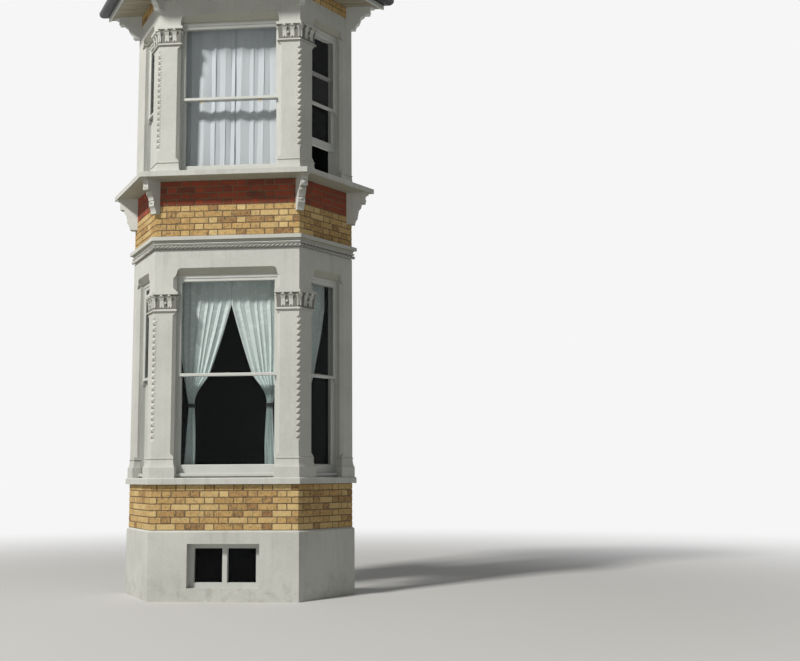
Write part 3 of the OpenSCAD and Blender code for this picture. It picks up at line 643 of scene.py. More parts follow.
class Finish(Enum):
    """Every finish that a piece can have, by its slot in the record."""

    STONE = "painted_stone"
    BRICK = "stock_brick"
    MORTAR = "mortar"
    TIMBER = "painted_timber"
    GLASS = "window_glass"
    FLOOR = "floor_boards"
    PLASTER = "plaster"
    LACE = "lace_curtain"
    VOILE = "white_curtain"
    BAND = "tie_cloth"
    IRON = "gutter_iron"
    SLATE = "roof_slate"
    LEAD = "sheet_lead"
    BRASS = "brass_fittings"
    SOFFIT = "soffit_boards"
    ROPE = "painted_rope"
    LOW_CARVING = "painted_carving_low"
    HIGH_CARVING = "painted_carving_high"


class Paintbox:
    """Builds each finish once and hands it out."""

    def __init__(self, plan: BayPlan) -> None:
        """Sets out the recipes for a bay of the given plan."""
        self.recipes = {
            Finish.STONE: StonePaint(),
            Finish.ROPE: RopePaint(plan=plan),
            Finish.LOW_CARVING: self._carved("lower_capitals", plan),
            Finish.HIGH_CARVING: self._carved("upper_capitals", plan),
            Finish.BRICK: BrickFace(),
            Finish.MORTAR: Mortar(),
            Finish.TIMBER: Gloss("painted_timber", (0.52, 0.535, 0.505)),
            Finish.GLASS: WindowGlass(),
            Finish.FLOOR: Planks("floor_boards", (0.33, 0.19, 0.09), plastered=True),
            Finish.PLASTER: Gloss("plaster", (0.62, 0.61, 0.57), 0.8, 0.2),
            Finish.LACE: Cloth("lace_curtain", (0.76, 0.87, 0.86), lace=0.35, opacity=0.94),
            Finish.VOILE: Cloth("white_curtain", (0.77, 0.83, 0.88), opacity=0.97),
            Finish.BAND: Cloth("tie_cloth", (0.035, 0.042, 0.045)),
            Finish.IRON: Metal("gutter_iron", (0.018, 0.019, 0.021), (0.05, 0.05, 0.05), 0.0, 0.42),
            Finish.SLATE: SlateFace(),
            Finish.LEAD: Metal("sheet_lead", (0.25, 0.255, 0.27), (0.42, 0.42, 0.41), 0.75, 0.52),
            Finish.BRASS: Metal("brass_fittings", (0.58, 0.42, 0.16), (0.30, 0.20, 0.08), 1.0, 0.34),
            Finish.SOFFIT: Planks("soffit_boards", (0.40, 0.37, 0.27), 0.11, across_x=False),
        }
        self.made: dict[Finish, bpy.types.Material] = {}

    def _carved(self, node: str, plan: BayPlan, neck: float = 0.024) -> CarvedPaint:
        """Paint for a row of capitals, whose bells stand on their necks."""
        return CarvedPaint(name=node + "_paint", foot=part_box(node)[0][2] + neck, plan=plan)

    def get(self, finish: Finish) -> bpy.types.Material:
        """The material of a finish, built on first use."""
        if finish not in self.made:
            self.made[finish] = self.recipes[finish].build()
        return self.made[finish]

    def dress(self, piece: bpy.types.Object, *finishes: Finish) -> None:
        """Gives a piece its finishes in place of any that it has.

        Args:
            piece: the piece.
            finishes: its finishes, of which the first covers it at first.
        """
        piece.data.materials.clear()
        for finish in finishes:
            piece.data.materials.append(self.get(finish))


# Modelling helpers


def select_only(*pieces: bpy.types.Object) -> None:
    """Makes some objects the only selected ones, with the first of them active."""
    bpy.ops.object.select_all(action="DESELECT")
    for piece in pieces:
        piece.select_set(True)
    bpy.context.view_layer.objects.active = pieces[0]


@contextmanager
def edit_mode(piece: bpy.types.Object) -> Iterator[None]:
    """Opens one mesh for editing with all of it selected, and closes it afterwards."""
    select_only(piece)
    bpy.ops.object.mode_set(mode="EDIT")
    bpy.ops.mesh.select_all(action="SELECT")
    yield
    bpy.ops.object.mode_set(mode="OBJECT")


def primitive(name: str, add: Callable[..., object], **settings: object) -> bpy.types.Object:
    """Adds one of Blender's own shapes at the origin.

    Args:
        name: the object's name.
        add: the operator that adds it.
        settings: the operator's settings.

    Returns:
        The object, which is then the only selected one.
    """
    bpy.ops.object.select_all(action="DESELECT")
    add(**settings)
    piece = bpy.context.active_object
    piece.name = piece.data.name = name
    return piece


def shift_mesh(piece: bpy.types.Object, move: Matrix) -> None:
    """Moves the mesh itself, so that the object stays at the origin."""
    piece.data.transform(move)
    piece.data.update()


def box(name: str, low: Sequence[float], high: Sequence[float], bevel: float = 0.0) -> bpy.types.Object:
    """A box between two corners.

    Args:
        name: the object's name.
        low: the lowest corner.
        high: the highest corner.
        bevel: width of a bevel on every edge.

    Returns:
        The object, at the origin.
    """
    piece = primitive(name, bpy.ops.mesh.primitive_cube_add, size=1.0)
    size = [b - a for a, b in zip(low, high)]
    middle = [(a + b) / 2 for a, b in zip(low, high)]
    shift_mesh(piece, Matrix.Translation(middle) @ Matrix.Diagonal((*size, 1.0)))
    if bevel:
        with edit_mode(piece):
            bpy.ops.mesh.bevel(offset=bevel, segments=2, affect="EDGES")
    return piece


def prism(name: str, outline: Sequence[tuple[float, float]], low: float, high: float) -> bpy.types.Object:
    """An upright prism over an outline that runs anticlockwise.

    Args:
        name: the object's name.
        outline: its corners in plan.
        low: height of its foot.
        high: height of its top.

    Returns:
        The object, at the origin.
    """
    piece = primitive(name, bpy.ops.mesh.primitive_circle_add, vertices=len(outline), fill_type="NGON")
    for vertex, (x, y) in zip(piece.data.vertices, outline):
        vertex.co = (x, y, low)
    with edit_mode(piece):
        bpy.ops.mesh.extrude_region_move(TRANSFORM_OT_translate={"value": (0.0, 0.0, high - low)})
        bpy.ops.mesh.select_all(action="SELECT")
        bpy.ops.mesh.normals_make_consistent(inside=False)
    return piece


def cut(piece: bpy.types.Object, point: Sequence[float], normal: Sequence[float]) -> None:
    """Cuts off what lies beyond a plane and closes the cut.

    Args:
        piece: the object.
        point: a point of the plane.
        normal: its normal, towards the side that is cut off.
    """
    with edit_mode(piece):
        bpy.ops.mesh.bisect(plane_co=tuple(point), plane_no=tuple(normal), use_fill=True, clear_outer=True)


def beyond(piece: bpy.types.Object, plane: Plane) -> tuple[float, float]:
    """Measures a mesh against a plane.

    Args:
        piece: the object.
        plane: a point of the plane and its normal.

    Returns:
        The least and the most that its points stand beyond the plane.
    """
    point, normal = map(Vector, plane)
    past = [(vertex.co - point).dot(normal) for vertex in piece.data.vertices]
    return min(past), max(past)


def stand(name: str, data: bpy.types.ID) -> bpy.types.Object:
    """A new object of the scene that shows a mesh, a lamp or a camera."""
    made = bpy.data.objects.new(name, data)
    bpy.context.scene.collection.objects.link(made)
    return made


def surface_of(name: str, points: Sequence[Vector], faces: Sequence[tuple[int, ...]]) -> bpy.types.Object:
    """Makes a smooth sheet with a UV map, which gives each face the whole square at first.

    Args:
        name: the object's name.
        points: its points.
        faces: the places of each face's corners among the points.

    Returns:
        The object, at the origin.
    """
    mesh = bpy.data.meshes.new(name)
    mesh.from_pydata(points, [], faces)
    mesh.uv_layers.new(name="UVMap")
    mesh.shade_smooth()
    return stand(name, mesh)


def place_sheet(piece: bpy.types.Object, move: Matrix) -> None:
    """Moves a sheet's mesh, and turns its faces round again where the move mirrors it.

    Args:
        piece: the sheet.
        move: the move.
    """
    shift_mesh(piece, move)
    if move.determinant() < 0:
        piece.data.flip_normals()


def tag(piece: bpy.types.Object, **values: float) -> None:
    """Writes numbers onto every point of a mesh for its material to read."""
    for name, value in values.items():
        layer = piece.data.attributes.new(name, "FLOAT", "POINT")
        layer.data.foreach_set("value", [value] * len(piece.data.vertices))


def join(name: str, pieces: Sequence[bpy.types.Object]) -> bpy.types.Object:
    """Joins pieces into one object.

    Args:
        name: the name of the whole.
        pieces: the objects, which are used up.

    Returns:
        The whole.
    """
    select_only(*pieces)
    bpy.ops.object.join()
    pieces[0].name = pieces[0].data.name = name
    return pieces[0]


def hand_over(piece: bpy.types.Object, node: str) -> None:
    """Lets a finished piece ride on the house and stand for its CAD node.

    Args:
        piece: the piece.
        node: the CAD node.
    """
    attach(piece, "root")
    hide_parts(node)
    log.info("%s: %d faces, for %s", piece.name, len(piece.data.polygons), node)


# The bay's plan


class Side(Enum):
    """Where a face of the bay stands, as a sign of X."""

    LEFT = -1
    FRONT = 0
    RIGHT = 1


def upright(x: float, y: float, lean: float, hand: int) -> Plane:
    """An upright plane.

    Args:
        x: a point of the plane.
        y: the same point's Y.
        lean: angle of its normal from the X axis towards Y.
        hand: 1 for a normal towards the right, -1 towards the left.

    Returns:
        The plane's point and normal.
    """
    return (x, y, 0.0), (hand * math.cos(lean), math.sin(lean), 0.0)


@dataclass(frozen=True)
class BayPlan:
    """The bay's outline in plan and the windows in it, in metres as in the CAD source."""

    half_front: float = 0.865
    depth: float = 0.81
    spread: float = 0.525
    wall: float = 0.225
    front_y: float = -0.174
    back_y: float = 0.636
    front_pier: float = 0.225
    side_pier: float = 0.215
    wall_pier: float = 0.165

    @property
    def side_length(self) -> float:
        """Length of a slanting face."""
        return math.hypot(self.depth, self.spread)

    @property
    def angle(self) -> float:
        """Turn of the slanting faces from the front."""
        return math.atan2(self.depth, self.spread)

    @property
    def front_open(self) -> float:
        """Width of the front window's opening."""
        return 2 * (self.half_front - self.front_pier)

    @property
    def side_open(self) -> float:
        """Width of a side window's opening."""
        return self.side_length - self.side_pier - self.wall_pier

    def outs(self, wide: Num, y: Num) -> tuple[Num, Num]:
        """How far a point stands out from the front face and from its slanting face.

        Args:
            wide: the point's distance from the middle.
            y: its Y.

        Returns:
            The two distances.
        """
        from_corner = (wide - self.half_front) * math.sin(self.angle)
        return self.front_y - y, from_corner - (y - self.front_y) * math.cos(self.angle)

    def wall_x(self, out: float) -> float:
        """X of the end, on the house wall, of the outline set out by some distance."""
        return self.half_front + self.spread + out * self.side_length / self.depth

    def line(self, out: float) -> list[tuple[float, float]]:
        """The outline set out by some distance.

        Args:
            out: the distance from the faces.

        Returns:
            Its four corners, from left to right.
        """
        wall = self.wall_x(out)
        corner = self.half_front + out * (self.side_length - self.spread) / self.depth
        return [(-wall, self.back_y), (-corner, self.front_y - out), (corner, self.front_y - out),
                (wall, self.back_y)]

    def ring(self, outer: float, inner: float) -> list[tuple[float, float]]:
        """Plan of a wall between two set-outs, open at the house wall."""
        return self.line(outer) + self.line(inner)[::-1]

    def faces(self) -> list[Face]:
        """The three faces, left to right."""
        wall_left, corner_left, corner_right, _ = self.line(0.0)
        return [Face(Side.LEFT, wall_left, -self.angle, self.side_length, self),
                Face(Side.FRONT, corner_left, 0.0, 2 * self.half_front, self),
                Face(Side.RIGHT, corner_right, self.angle, self.side_length, self)]


@dataclass(frozen=True)
class Face:
    """One face of the bay. In its own frame X runs along it, Y into the wall and Z up."""

    side: Side
    start: tuple[float, float]
    turn: float
    length: float
    plan: BayPlan

    def matrix(self) -> Matrix:
        """From the face's frame to the part's."""
        return Matrix.Translation((*self.start, 0.0)) @ Matrix.Rotation(self.turn, 4, "Z")

    def ends(self) -> tuple[Plane, Plane]:
        """The planes, in the face's frame, that its pieces are cut to at the left and the right."""
        mitre, house_wall = self.plan.angle / 2, math.pi / 2 - self.plan.angle
        return (upright(0.0, 0.0, house_wall if self.side is Side.LEFT else mitre, -1),
                upright(self.length, 0.0, house_wall if self.side is Side.RIGHT else mitre, 1))


# Brickwork


@dataclass(frozen=True)
class BrickSize:
    """A London stock brick and its joint, in metres."""

    stretcher: float = 0.2135
    header: float = 0.1005
    height: float = 0.063
    joint: float = 0.012
    shown_depth: float = 0.03
    bevel: float = 0.004
    recess: float = 0.006
    least: float = 0.045

    @property
    def course(self) -> float:
        """Height of a course with its joint."""
        return self.height + self.joint


@dataclass
class Brickwork:
    """Brick bands of the bay in Flemish bond, each brick a piece of its own over recessed mortar."""

    plan: BayPlan
    paints: Paintbox
    chance: random.Random
    size: BrickSize = BrickSize()
    wander: float = 0.0012
    lift_share: float = 0.6
    lean: float = 0.003
    tone: float = 0.50
    tone_spread: float = 0.27
    at_end: float = 0.001
    count: int = 0

    def _lengths(self, face_length: float, odd: bool) -> list[tuple[float, float]]:
        """Lays out one course, headers and stretchers by turns.

        Args:
            face_length: length of the face.
            odd: whether a stretcher, and not a header, stands in the face's middle.

        Returns:
            Start and end of each brick along the face.
        """
        s = self.size
        start = face_length / 2 - (s.stretcher / 2 if odd else s.header / 2)
        longs = odd
        while start > -s.stretcher:
            longs = not longs
            start -= s.joint + (s.stretcher if longs else s.header)
        found: list[tuple[float, float]] = []
        while start < face_length:
            end = start + (s.stretcher if longs else s.header)
            low, high = max(start, 0.0), min(end, face_length)
            if high - low > 0:
                found.append((low, high))
            start, longs = end + s.joint, not longs
        if len(found) > 1 and found[0][1] - found[0][0] < s.least:
            found[:2] = [(found[0][0], found[1][1])]
        if len(found) > 1 and found[-1][1] - found[-1][0] < s.least:
            found[-2:] = [(found[-2][0], found[-1][1])]
        return found

    def _brick(self, face: Face, span: tuple[float, float], foot: float, red: bool,
               master: bpy.types.Object) -> bpy.types.Object:
        """Sets one brick in its face, with a small error of the hand.

        Args:
            face: the face.
            span: the brick's start and end along the face.
            foot: height of its foot.
            red: whether it is a red one.
            master: a stretcher to copy.

        Returns:
            The brick.
        """
        s = self.size
        _, inward, upward = (self.chance.uniform(-self.wander, self.wander) for _ in range(3))
        brick = stand("brick", master.data.copy())
        stretch = (span[1] - span[0] - s.stretcher) / 2
        for vertex in brick.data.vertices:
            vertex.co.x += stretch if vertex.co.x > 0 else -stretch
        middle = ((span[0] + span[1]) / 2, s.shown_depth / 2 + abs(inward),
                  foot + s.height / 2 + upward * self.lift_share)
        turn = Matrix.Rotation(self.chance.uniform(-self.lean, self.lean), 4, "Y")
        shift_mesh(brick, Matrix.Translation(middle) @ turn)
        left, right = face.ends()
        if span[0] < self.at_end:
            cut(brick, *left)
        if span[1] > face.length - self.at_end:
            cut(brick, *right)
        shift_mesh(brick, face.matrix())
        tone = min(1.0, max(0.0, self.chance.gauss(self.tone, self.tone_spread)))
        tag(brick, tone=tone, red=1.0 if red else 0.0)
        self.count += 1
        return brick

    def band(self, node: str, red_courses: int) -> None:
        """One band of brickwork round the three faces, bricks and mortar.

        Args:
            node: the CAD node that it stands for, which gives its height.
            red_courses: how many of its courses, from the top, are of red brick.
        """
        s = self.size
        low, high = (corner[2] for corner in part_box(node))
        courses = round((high - low) / s.course)
        half = [side / 2 for side in (s.stretcher, s.shown_depth, s.height)]
        master = box("brick_master", [-side for side in half], half, s.bevel)
        bricks = []
        for face in self.plan.faces():
            for row in range(courses):
                foot = low + row * s.course + s.joint / 2
                for span in self._lengths(face.length, row % 2 == 0):
                    bricks.append(self._brick(face, span, foot, row >= courses - red_courses, master))
        bpy.data.objects.remove(master)
        whole = join(node + "_bricks", bricks)
        self.paints.dress(whole, Finish.BRICK)
        hand_over(whole, node)
        self._core(node, low, low + courses * s.course)

    def _core(self, node: str, low: float, high: float) -> None:
        """The mortar behind a band's bricks, plastered on the faces towards the room.

        Args:
            node: the band's CAD node.
            low: height of its foot.
            high: height of its top.
        """
        core = prism(node + "_mortar", self.plan.ring(-self.size.recess, -self.plan.wall), low, high)
        self.paints.dress(core, Finish.MORTAR, Finish.PLASTER)
        for side in core.data.polygons:
            faces_room = side.normal.y > 0.3
            if faces_room and side.center.y < self.plan.back_y - self.at_end:
                side.material_index = 1
        hand_over(core, node)


# Roof


@dataclass(frozen=True)
class SlateSize:
    """A roofing slate and how the slates lie, in metres."""

    width: float = 0.25
    length: float = 0.42
    gauge: float = 0.19
    thick: float = 0.006
    gap: float = 0.004
    bevel: float = 0.0012
    tilt: float = 0.028
    jog: float = 0.003


@dataclass
class SlateRoof:
    """Slates in courses on the three slopes, cut along the hips, over a deck of boards."""

    plan: BayPlan
    paints: Paintbox
    chance: random.Random
    size: SlateSize = SlateSize()
    pitch: float = math.radians(35.0)
    eaves: float = 0.352
    lap: float = 0.04
    foot: float = 7.51
    cover: float = 0.06
    past_face: float = 1.4
    sliver: float = 0.03
    deck_past: float = 1.6
    deck_past_top: float = 0.2
    deck_top: float = -0.02
    deck_foot: float = -0.045

    @property
    def slope_length(self) -> float:
        """Length of a slope from its eaves to the house wall."""
        return (self.plan.depth + self.eaves + self.lap) / math.cos(self.pitch)

    def _frame(self, face: Face) -> Matrix:
        """Finds a slope's own frame, with X along the eaves and Y up the slope.

        Args:
            face: the face under the slope.

        Returns:
            The move from that frame to the part's.
        """
        edge = self.foot + self.cover - self.lap * math.tan(self.pitch)
        return (face.matrix() @ Matrix.Translation((0.0, -self.eaves - self.lap, edge))
                @ Matrix.Rotation(self.pitch, 4, "X"))

    def _planes(self, face: Face) -> list[Plane]:
        """The hip planes and the house wall that bound one slope.

        Args:
            face: the face under the slope.

        Returns:
            The planes, in the part's frame.
        """
        p = self.plan
        hips = {hand: upright(hand * p.half_front, p.front_y, p.angle / 2, hand) for hand in (-1, 1)}
        wall = ((0.0, p.back_y, 0.0), (0.0, 1.0, 0.0))
        if face.side is Side.FRONT:
            return [hips[-1], hips[1], wall]
        point, normal = hips[face.side.value]
        return [(point, tuple(-c for c in normal)), wall]

    def _slope(self, face: Face, master: bpy.types.Object) -> list[bpy.types.Object]:
        """Lays one slope, without the slates that lie beyond it or would be slivers.

        Args:
            face: the face under the slope.
            master: a slate to copy.

        Returns:
            The slates, in place.
        """
        s = self.size
        slope, planes = self._frame(face), self._planes(face)
        slates = []
        for row in range(math.ceil(self.slope_length / s.gauge) + 1):
            foot = (row - 1) * s.gauge if row else 0.0
            start = -self.past_face - (s.width / 2) * (row % 2)
            while start < face.length + self.past_face:
                jog = self.chance.uniform(-s.jog, s.jog)
                slate = stand("slate", master.data.copy())
                shift_mesh(slate, Matrix.Translation((start + s.width / 2, foot + jog + s.length / 2, 0.0)))
                shift_mesh(slate, slope)
                if any(beyond(slate, plane)[0] > -self.sliver for plane in planes):
                    bpy.data.objects.remove(slate)
                else:
                    for plane in planes:
                        if beyond(slate, plane)[1] > 0:
                            cut(slate, *plane)
                    tag(slate, tone=self.chance.random())
                    slates.append(slate)
                start += s.width
        return slates

    def build(self) -> None:
        """Models the deck and the slates."""
        self._deck()
        s = self.size
        half = (s.width - s.gap) / 2
        master = box("slate_master", (-half, -s.length / 2, -s.thick), (half, s.length / 2, 0.0), s.bevel)
        shift_mesh(master, Matrix.Rotation(-s.tilt, 4, "X"))
        shift_mesh(master, Matrix.Translation((0.0, 0.0, -s.length / 2 * math.sin(s.tilt))))
        slates = [slate for face in self.plan.faces() for slate in self._slope(face, master)]
        bpy.data.objects.remove(master)
        whole = join("roof_slates", slates)
        self.paints.dress(whole, Finish.SLATE)
        hand_over(whole, "roof_slopes")

    def _deck(self) -> None:
        """The boarded deck under the slates: three sloping slabs cut along the hips."""
        slabs = []
        for face in self.plan.faces():
            low = (-self.deck_past, 0.0, self.deck_foot)
            high = (face.length + self.deck_past, self.slope_length + self.deck_past_top, self.deck_top)
            slab = box("roof_slab", low, high)
            shift_mesh(slab, self._frame(face))
            for plane in self._planes(face):
                cut(slab, *plane)
            slabs.append(slab)
        whole = join("roof_deck", slabs)
        self.paints.dress(whole, Finish.SOFFIT)
        hand_over(whole, "roof_slopes")


# Curtains


@dataclass(frozen=True)
class Drape:
    """A curtain of one window: where it hangs, how wide it is and how it is held."""

    name: str
    width: float
    height: float
    folds: float
    tied: bool
    seed: int
    near: float = 0.0
    hem: float = 0.04
    hem_near: float = 0.08
    hem_belly: float = 0.022
    tie_z: float = 0.85
    tie_near: float = 0.137
    tie_far: float = 0.204
    tie_reach: float = 0.16
    meet: float = 0.78
    soft: float = 0.25
    depth: float = 0.272
    fold_depth: float = 0.018
    sway: float = 0.004

    def reach(self, z: float) -> tuple[float, float]:
        """Finds the cloth's edges, as the CAD source does.

        Args:
            z: height over the sill.

        Returns:
            The near and the far edge, from the jamb.
        """
        if not self.tied:
            return self.near, self.width
        if z >= self.tie_z:
            t = (z - self.tie_z) / (self.height - self.tie_z)
            start = min(1.0, t / self.soft)
            rise = min(1.0, t / self.meet) ** 0.75 * start * start * (3 - 2 * start)
            return self.tie_near * (1 - t) ** 2.5, self.tie_far + (self.width - self.tie_far) * rise
        t = (self.tie_z - z) / (self.tie_z - self.hem)
        return (self.tie_near + (self.hem_near - self.tie_near) * t,
                self.tie_far + self.hem_belly * math.sin(math.radians(150) * t))

    def squeeze(self, z: float) -> float:
        """1 where the band holds the cloth, falling to 0 some way above and below it."""
        return 1.0 - min(1.0, abs(z - self.tie_z) / self.tie_reach) if self.tied else 0.0


@dataclass
class Curtains:
    """Gathered cloth behind the glass, made as sheets whose folds keep the cloth's length."""

    plan: BayPlan
    paints: Paintbox
    across: int = 300
    along: int = 110
    lower_sill: float = 1.40
    lower_head: float = 2.401
    lower_folds: float = 7.0
    upper_sill: float = 4.99
    upper_head: float = 1.941
    upper_folds: float = 4.5
    front_short: float = 0.001
    side_short: float = 0.04
    upper_short: float = 0.01
    upper_lap: float = 0.012
    upper_depth: float = 0.271
    upper_stagger: float = 0.004
    upper_fold_depth: float = 0.0165
    band_gap: float = 0.009
    band_half: float = 0.0215
    band_high: float = 0.044
    band_swell: float = 0.0012
    band_square: float = 0.55
    band_steps: int = 40
    band_rows: int = 5

    def _row(self, d: Drape, z: float, phases: Sequence[float]) -> list[Vector]:
        """One row of the cloth.

        Args:
            d: the curtain.
            z: the row's height over the sill.
            phases: three angles that shift its waves.

        Returns:
            Its points, in the face's frame from the jamb.
        """
        near, far = d.reach(z)
        span, loose = far - near, 1.0 - d.squeeze(z)
        slack = 0.9 if d.tied and z < d.tie_z else 1.0
        points = []
        for i in range(self.across + 1):
            s = i / self.across
            turn = math.tau * s
            wobble = (0.9 * math.sin(turn * 1.7 + phases[0])
                      + 0.5 * math.sin(turn * 3.1 + phases[1] + z * 0.9))
            angle = turn * d.folds + wobble
            swell = 0.80 + 0.20 * math.sin(turn * 2.3 + phases[2] + z * 1.1)
            fold = math.sin(angle) * (0.65 + 0.35 * loose) * swell * slack
            pinch = 0.12 * span / d.folds * math.sin(2 * angle)
            inner = 1.0 - abs(2 * s - 1) ** 8
            points.append(Vector((near + span * s + pinch * loose * inner,
                                  d.depth + d.fold_depth * fold
                                  + d.sway * math.sin(7 * z + phases[1] + 9 * s) * loose, z)))
        return points

    def _cloth(self, d: Drape) -> tuple[bpy.types.Object, float]:
        """Makes one curtain in its own frame, from the jamb.

        Args:
            d: the curtain.

        Returns:
            The curtain, and its length laid flat.
        """
        chance = random.Random(d.seed)
        phases = [chance.uniform(0, math.tau) for _ in range(3)]
        levels = [d.hem + (d.height - d.hem) * j / self.along for j in range(self.along + 1)]
        rows = [self._row(d, z, phases) for z in levels]
        columns = [[row[i] for row in rows] for i in (0, self.across // 2, self.across)]
        wide, long = (sum((b - a).length for run in runs for a, b in zip(run, run[1:])) / len(runs)
                      for runs in (rows, columns))
        step = self.across + 1
        faces = [(k, k + 1, k + step + 1, k + step)
                 for j in range(self.along) for k in range(j * step, j * step + self.across)]
        piece = surface_of(d.name, [point for row in rows for point in row], faces)
        flat = [part for face in faces for corner in face
                for part in ((corner % step) / self.across * wide, (corner // step) / self.along * long)]
        piece.data.uv_layers[0].data.foreach_set("uv", flat)
        return piece, long

    def _hang(self, d: Drape, move: Matrix, finish: Finish, storey: str) -> bpy.types.Object:
        """Makes a curtain and hangs it from the rail of its storey.

        Args:
            d: the curtain.
            move: from the curtain's own frame to the part's.
            finish: its cloth.
            storey: start of the names of its CAD nodes.

        Returns:
            The curtain.
        """
        piece, long = self._cloth(d)
        place_sheet(piece, move)
        self.paints.dress(piece, finish)
        hand_over(piece, storey + "_curtains")
        return piece

    def _tie(self, name: str, move: Matrix, d: Drape) -> None:
        """The band round a tied curtain: a strip of cloth in a flattened loop.

        Args:
            name: the band's name.
            move: from the curtain's own frame to the part's.
            d: the curtain's sizes.
        """
        half_wide = (d.tie_far - d.tie_near) / 2 + self.band_gap
        middle = (d.tie_near + d.tie_far) / 2
        points = []
        for i in range(self.band_steps):
            turn = math.tau * i / self.band_steps
            x, y = (math.copysign(abs(c) ** self.band_square, c) for c in (math.cos(turn), math.sin(turn)))
            for k in range(self.band_rows):
                v = k / (self.band_rows - 1) - 0.5
                swell = self.band_swell * math.cos(math.pi * v)
                points.append(Vector((middle + x * (half_wide + swell),
                                      d.depth + y * (self.band_half + swell),
                                      d.tie_z + v * self.band_high)))
        rows, count = self.band_rows, len(points)
        faces = [(k, (k + rows) % count, (k + rows + 1) % count, k + 1)
                 for i in range(self.band_steps) for k in range(rows * i, rows * i + rows - 1)]
        piece = surface_of(name, points, faces)
        place_sheet(piece, move)
        self.paints.dress(piece, Finish.BAND)
        hand_over(piece, "curtain_tie_bands")

    def _tied(self, place: str, hand: str, width: float, seed: int, move: Matrix) -> None:
        """Hangs one tied-back curtain of the lower storey, with its band.

        Args:
            place: its window, front or side.
            hand: left or right.
            width: its width at the rail.
            seed: number of its folds' random shifts.
            move: from the curtain's own frame to the part's.
        """
        d = Drape(f"{place}_curtain_{hand}", width, self.lower_head, self.lower_folds, True, seed)
        cloth = self._hang(d, move, Finish.LACE, "lower")
        self._tie(f"{place}_tie_{hand}", move, d)

    def build(self) -> None:
        """Hangs every curtain of the bay."""
        p = self.plan
        half_open = p.front_open / 2
        flip = Matrix.Scale(-1.0, 4, Vector((1.0, 0.0, 0.0)))
        jamb = Matrix.Translation((half_open, p.front_y, self.lower_sill)) @ flip
        pier = p.faces()[2].matrix() @ Matrix.Translation((p.side_pier, 0.0, self.lower_sill))
        middle = Matrix.Translation((0.0, p.front_y, self.upper_sill))
        for side, hand, mirror in ((1, "right", Matrix.Identity(4)), (-1, "left", flip)):
            self._tied("front", hand, half_open - self.front_short, 3 + side, mirror @ jamb)
            self._tied("side", hand, p.side_open - self.side_short, 8 + side, mirror @ pier)
            d = Drape("upper_curtain_" + hand, half_open - self.upper_short, self.upper_head,
                      self.upper_folds, False, 12 + side, near=-self.upper_lap,
                      depth=self.upper_depth + self.upper_stagger * side, fold_depth=self.upper_fold_depth)
            self._hang(d, mirror @ middle, Finish.VOILE, "upper")


# Studio


@dataclass(frozen=True)
class CameraFit:
    """The photograph's camera, fitted to its own vanishing lines."""

    place: tuple[float, float, float] = (2.846, -11.753, 1.417)
    yaw: float = 0.0855
    pitch: float = 0.1165
    roll: float = -0.006
    lens: float = 45.79
    sensor: float = 36.0
    shift_x: float = 0.020
    shift_y: float = 0.032
    far: float = 200.0

    def build(self) -> None:
        """Makes the camera and sets it as the scene's own."""
        data = bpy.data.cameras.new("photo_camera")
        data.sensor_width, data.lens, data.clip_end = self.sensor, self.lens, self.far
        data.shift_x, data.shift_y = self.shift_x, self.shift_y
        camera = stand("photo_camera", data)
        camera.matrix_world = (Matrix.Translation(self.place) @ Matrix.Rotation(self.yaw, 4, "Z")
                               @ Matrix.Rotation(math.pi / 2 + self.pitch, 4, "X")
                               @ Matrix.Rotation(self.roll, 4, "Z"))
        bpy.context.scene.camera = camera


@dataclass(frozen=True)
class Lamp:
    """One soft square lamp that faces a point of the bay."""

    name: str
    place: tuple[float, float, float]
    size: float
    watts: float
    colour: Colour
    aim: tuple[float, float, float] = (0.0, 0.0, 4.0)

    def build(self) -> None:
        """Makes the lamp."""
        data = bpy.data.lights.new(self.name, "AREA")
        data.size, data.energy, data.color = self.size, self.watts, self.colour
        facing = (Vector(self.aim) - Vector(self.place)).to_track_quat("-Z", "Y")
        stand(self.name, data).matrix_world = Matrix.Translation(self.place) @ facing.to_matrix().to_4x4()


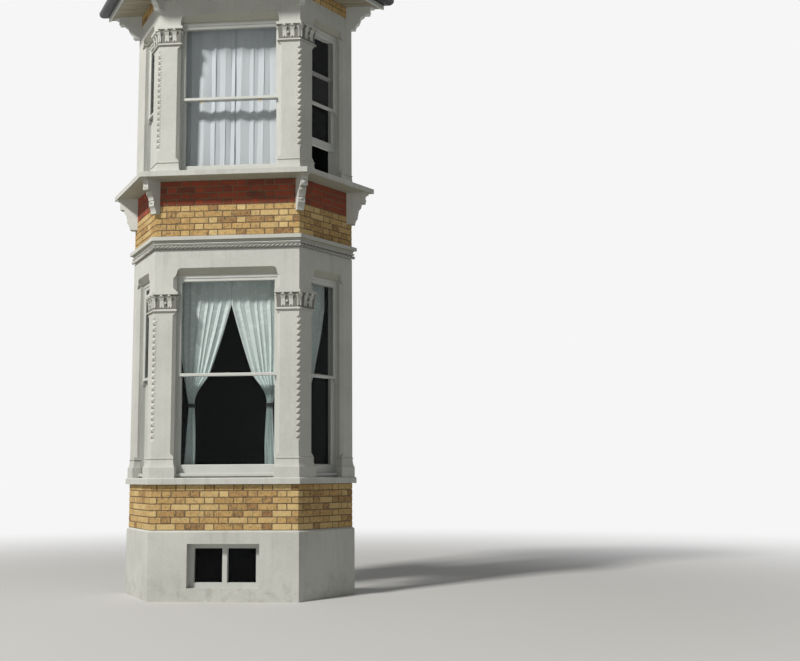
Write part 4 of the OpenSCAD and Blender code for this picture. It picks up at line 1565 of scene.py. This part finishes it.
@dataclass
class Studio:
    """Pale floor, soft lamps, a white background, and a black backdrop that paints the shade of the unlit
    rooms.
    """

    plan: BayPlan
    white: Colour = (1.0, 1.0, 1.0)
    seen_white: float = 0.92
    sky_light: float = 0.160
    floor_size: float = 90.0
    floor_tone: Colour = (0.49, 0.49, 0.48)
    fade_from: float = 4.0
    fade_to: float = 17.0
    room_shade_tone: Colour = (0.006, 0.007, 0.008)
    dark_height: float = 7.25
    dark_inset: float = 0.03
    dark_behind: float = 0.004

    def _floor(self) -> None:
        """A wide pale floor that fades into the background far from the house."""
        ground = primitive("studio_floor", bpy.ops.mesh.primitive_plane_add, size=self.floor_size)
        f = Finisher("studio_floor")
        f.drive(Base_Color=self.floor_tone, Roughness=0.9)
        away = f.num("VectorMath", {"operation": "LENGTH"}, {0: f.place()}, "Value")
        f.veil(f.seen() * away.over(self.fade_from, self.fade_to),
               f.node("Emission", inputs={"Color": self.white, "Strength": self.seen_white}))
        ground.data.materials.append(f.material)

    def _dark_room(self) -> None:
        """Painted shade: a black backdrop across the open back for the unlit rooms, seen through the
        windows and from behind not at all.
        """
        p = self.plan
        screen = primitive("dark_room_backdrop", bpy.ops.mesh.primitive_plane_add, size=1.0)
        wide, tall = 2 * (p.wall_x(0.0) - self.dark_inset), self.dark_height
        middle = (0.0, p.back_y + self.dark_behind, self.dark_inset + tall / 2)
        shift_mesh(screen, Matrix.Translation(middle) @ Matrix.Rotation(math.pi / 2, 4, "X")
                   @ Matrix.Diagonal((wide, tall, 1.0, 1.0)))
        f = Finisher("dark_room_backdrop")
        f.drive(Base_Color=self.room_shade_tone, Roughness=1.0, Specular_IOR_Level=0.0)
        f.veil(f.node("NewGeometry").outputs["Backfacing"], f.node("BsdfTransparent"))
        screen.data.materials.append(f.material)
        # The painted shade is for the camera only: it casts no shadow and shows in no light or reflection.
        screen.visible_shadow = screen.visible_diffuse = screen.visible_glossy = False

    def _world(self) -> None:
        """A background that is white to the eye and much darker as a light."""
        world = bpy.data.worlds.new("studio")
        world.use_nodes = True
        g = Graph(world.node_tree)
        strength = g.seen() * (self.seen_white - self.sky_light) + self.sky_light
        shade = g.node("Background", inputs={"Color": self.white, "Strength": strength})
        g.node("OutputWorld", inputs={"Surface": shade.outputs[0]})
        bpy.context.scene.world = world

    def build(self) -> None:
        """Sets up floor, lamps and background."""
        self._floor()
        self._dark_room()
        self._world()
        Lamp("key", (-18.2, -22.8, 31.4), 4.4, 20600.0, (1.0, 0.975, 0.93)).build()
        Lamp("fill", (12.0, -12.0, 7.0), 9.0, 85.0, (0.88, 0.95, 1.0)).build()


# The whole


NODE_FINISH: dict[Finish, tuple[str, ...]] = {
    Finish.STONE: ("plinth", "stone_sill", "lower_corner_piers", "lower_wall_piers", "lower_dogtooth",
                   "lower_lintel", "cornice", "sill_slab", "slab_brackets", "upper_corner_piers",
                   "upper_wall_piers", "upper_dogtooth", "upper_lintel"),
    Finish.LOW_CARVING: ("lower_capitals",),
    Finish.HIGH_CARVING: ("upper_capitals",),
    Finish.ROPE: ("rope_moulding",),
    Finish.TIMBER: ("basement_window_frame", "lower_sash_frames", "lower_top_sashes", "lower_bottom_sashes",
                    "upper_sash_frames", "upper_top_sashes", "upper_bottom_sashes", "eaves_brackets",
                    "fascia_board", "lower_curtain_rail", "upper_curtain_rail"),
    Finish.GLASS: ("basement_window_glass", "lower_glass", "upper_glass"),
    Finish.FLOOR: ("ground_floor", "first_floor"),
    Finish.PLASTER: ("ceiling",),
    Finish.SOFFIT: ("eaves_soffit",),
    Finish.IRON: ("gutter",),
    Finish.LEAD: ("lead_hips",),
    Finish.BRASS: ("sash_fittings",),
}
RED_COURSES = {"brick_band": 0, "brick_apron": 4, "eaves_brickwork": 0}


def main() -> None:
    """Builds the scene in order and reports what it made."""
    logging.basicConfig(level=logging.INFO, format="%(name)s: %(message)s")
    CameraFit().build()
    chance = random.Random(1887)
    plan = BayPlan()
    paints = Paintbox(plan)
    for finish, nodes in NODE_FINISH.items():
        for node in nodes:
            paints.dress(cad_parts[node], finish)
            log.info("%s: %s", node, finish.value)
    bricks = Brickwork(plan, paints, chance)
    for node, red_courses in RED_COURSES.items():
        bricks.band(node, red_courses)
    log.info("%d bricks", bricks.count)
    SlateRoof(plan, paints, chance).build()
    Curtains(plan, paints).build()
    Studio(plan).build()
    bpy.context.scene.view_settings.view_transform = "Standard"


if __name__ == "__main__":
    main()
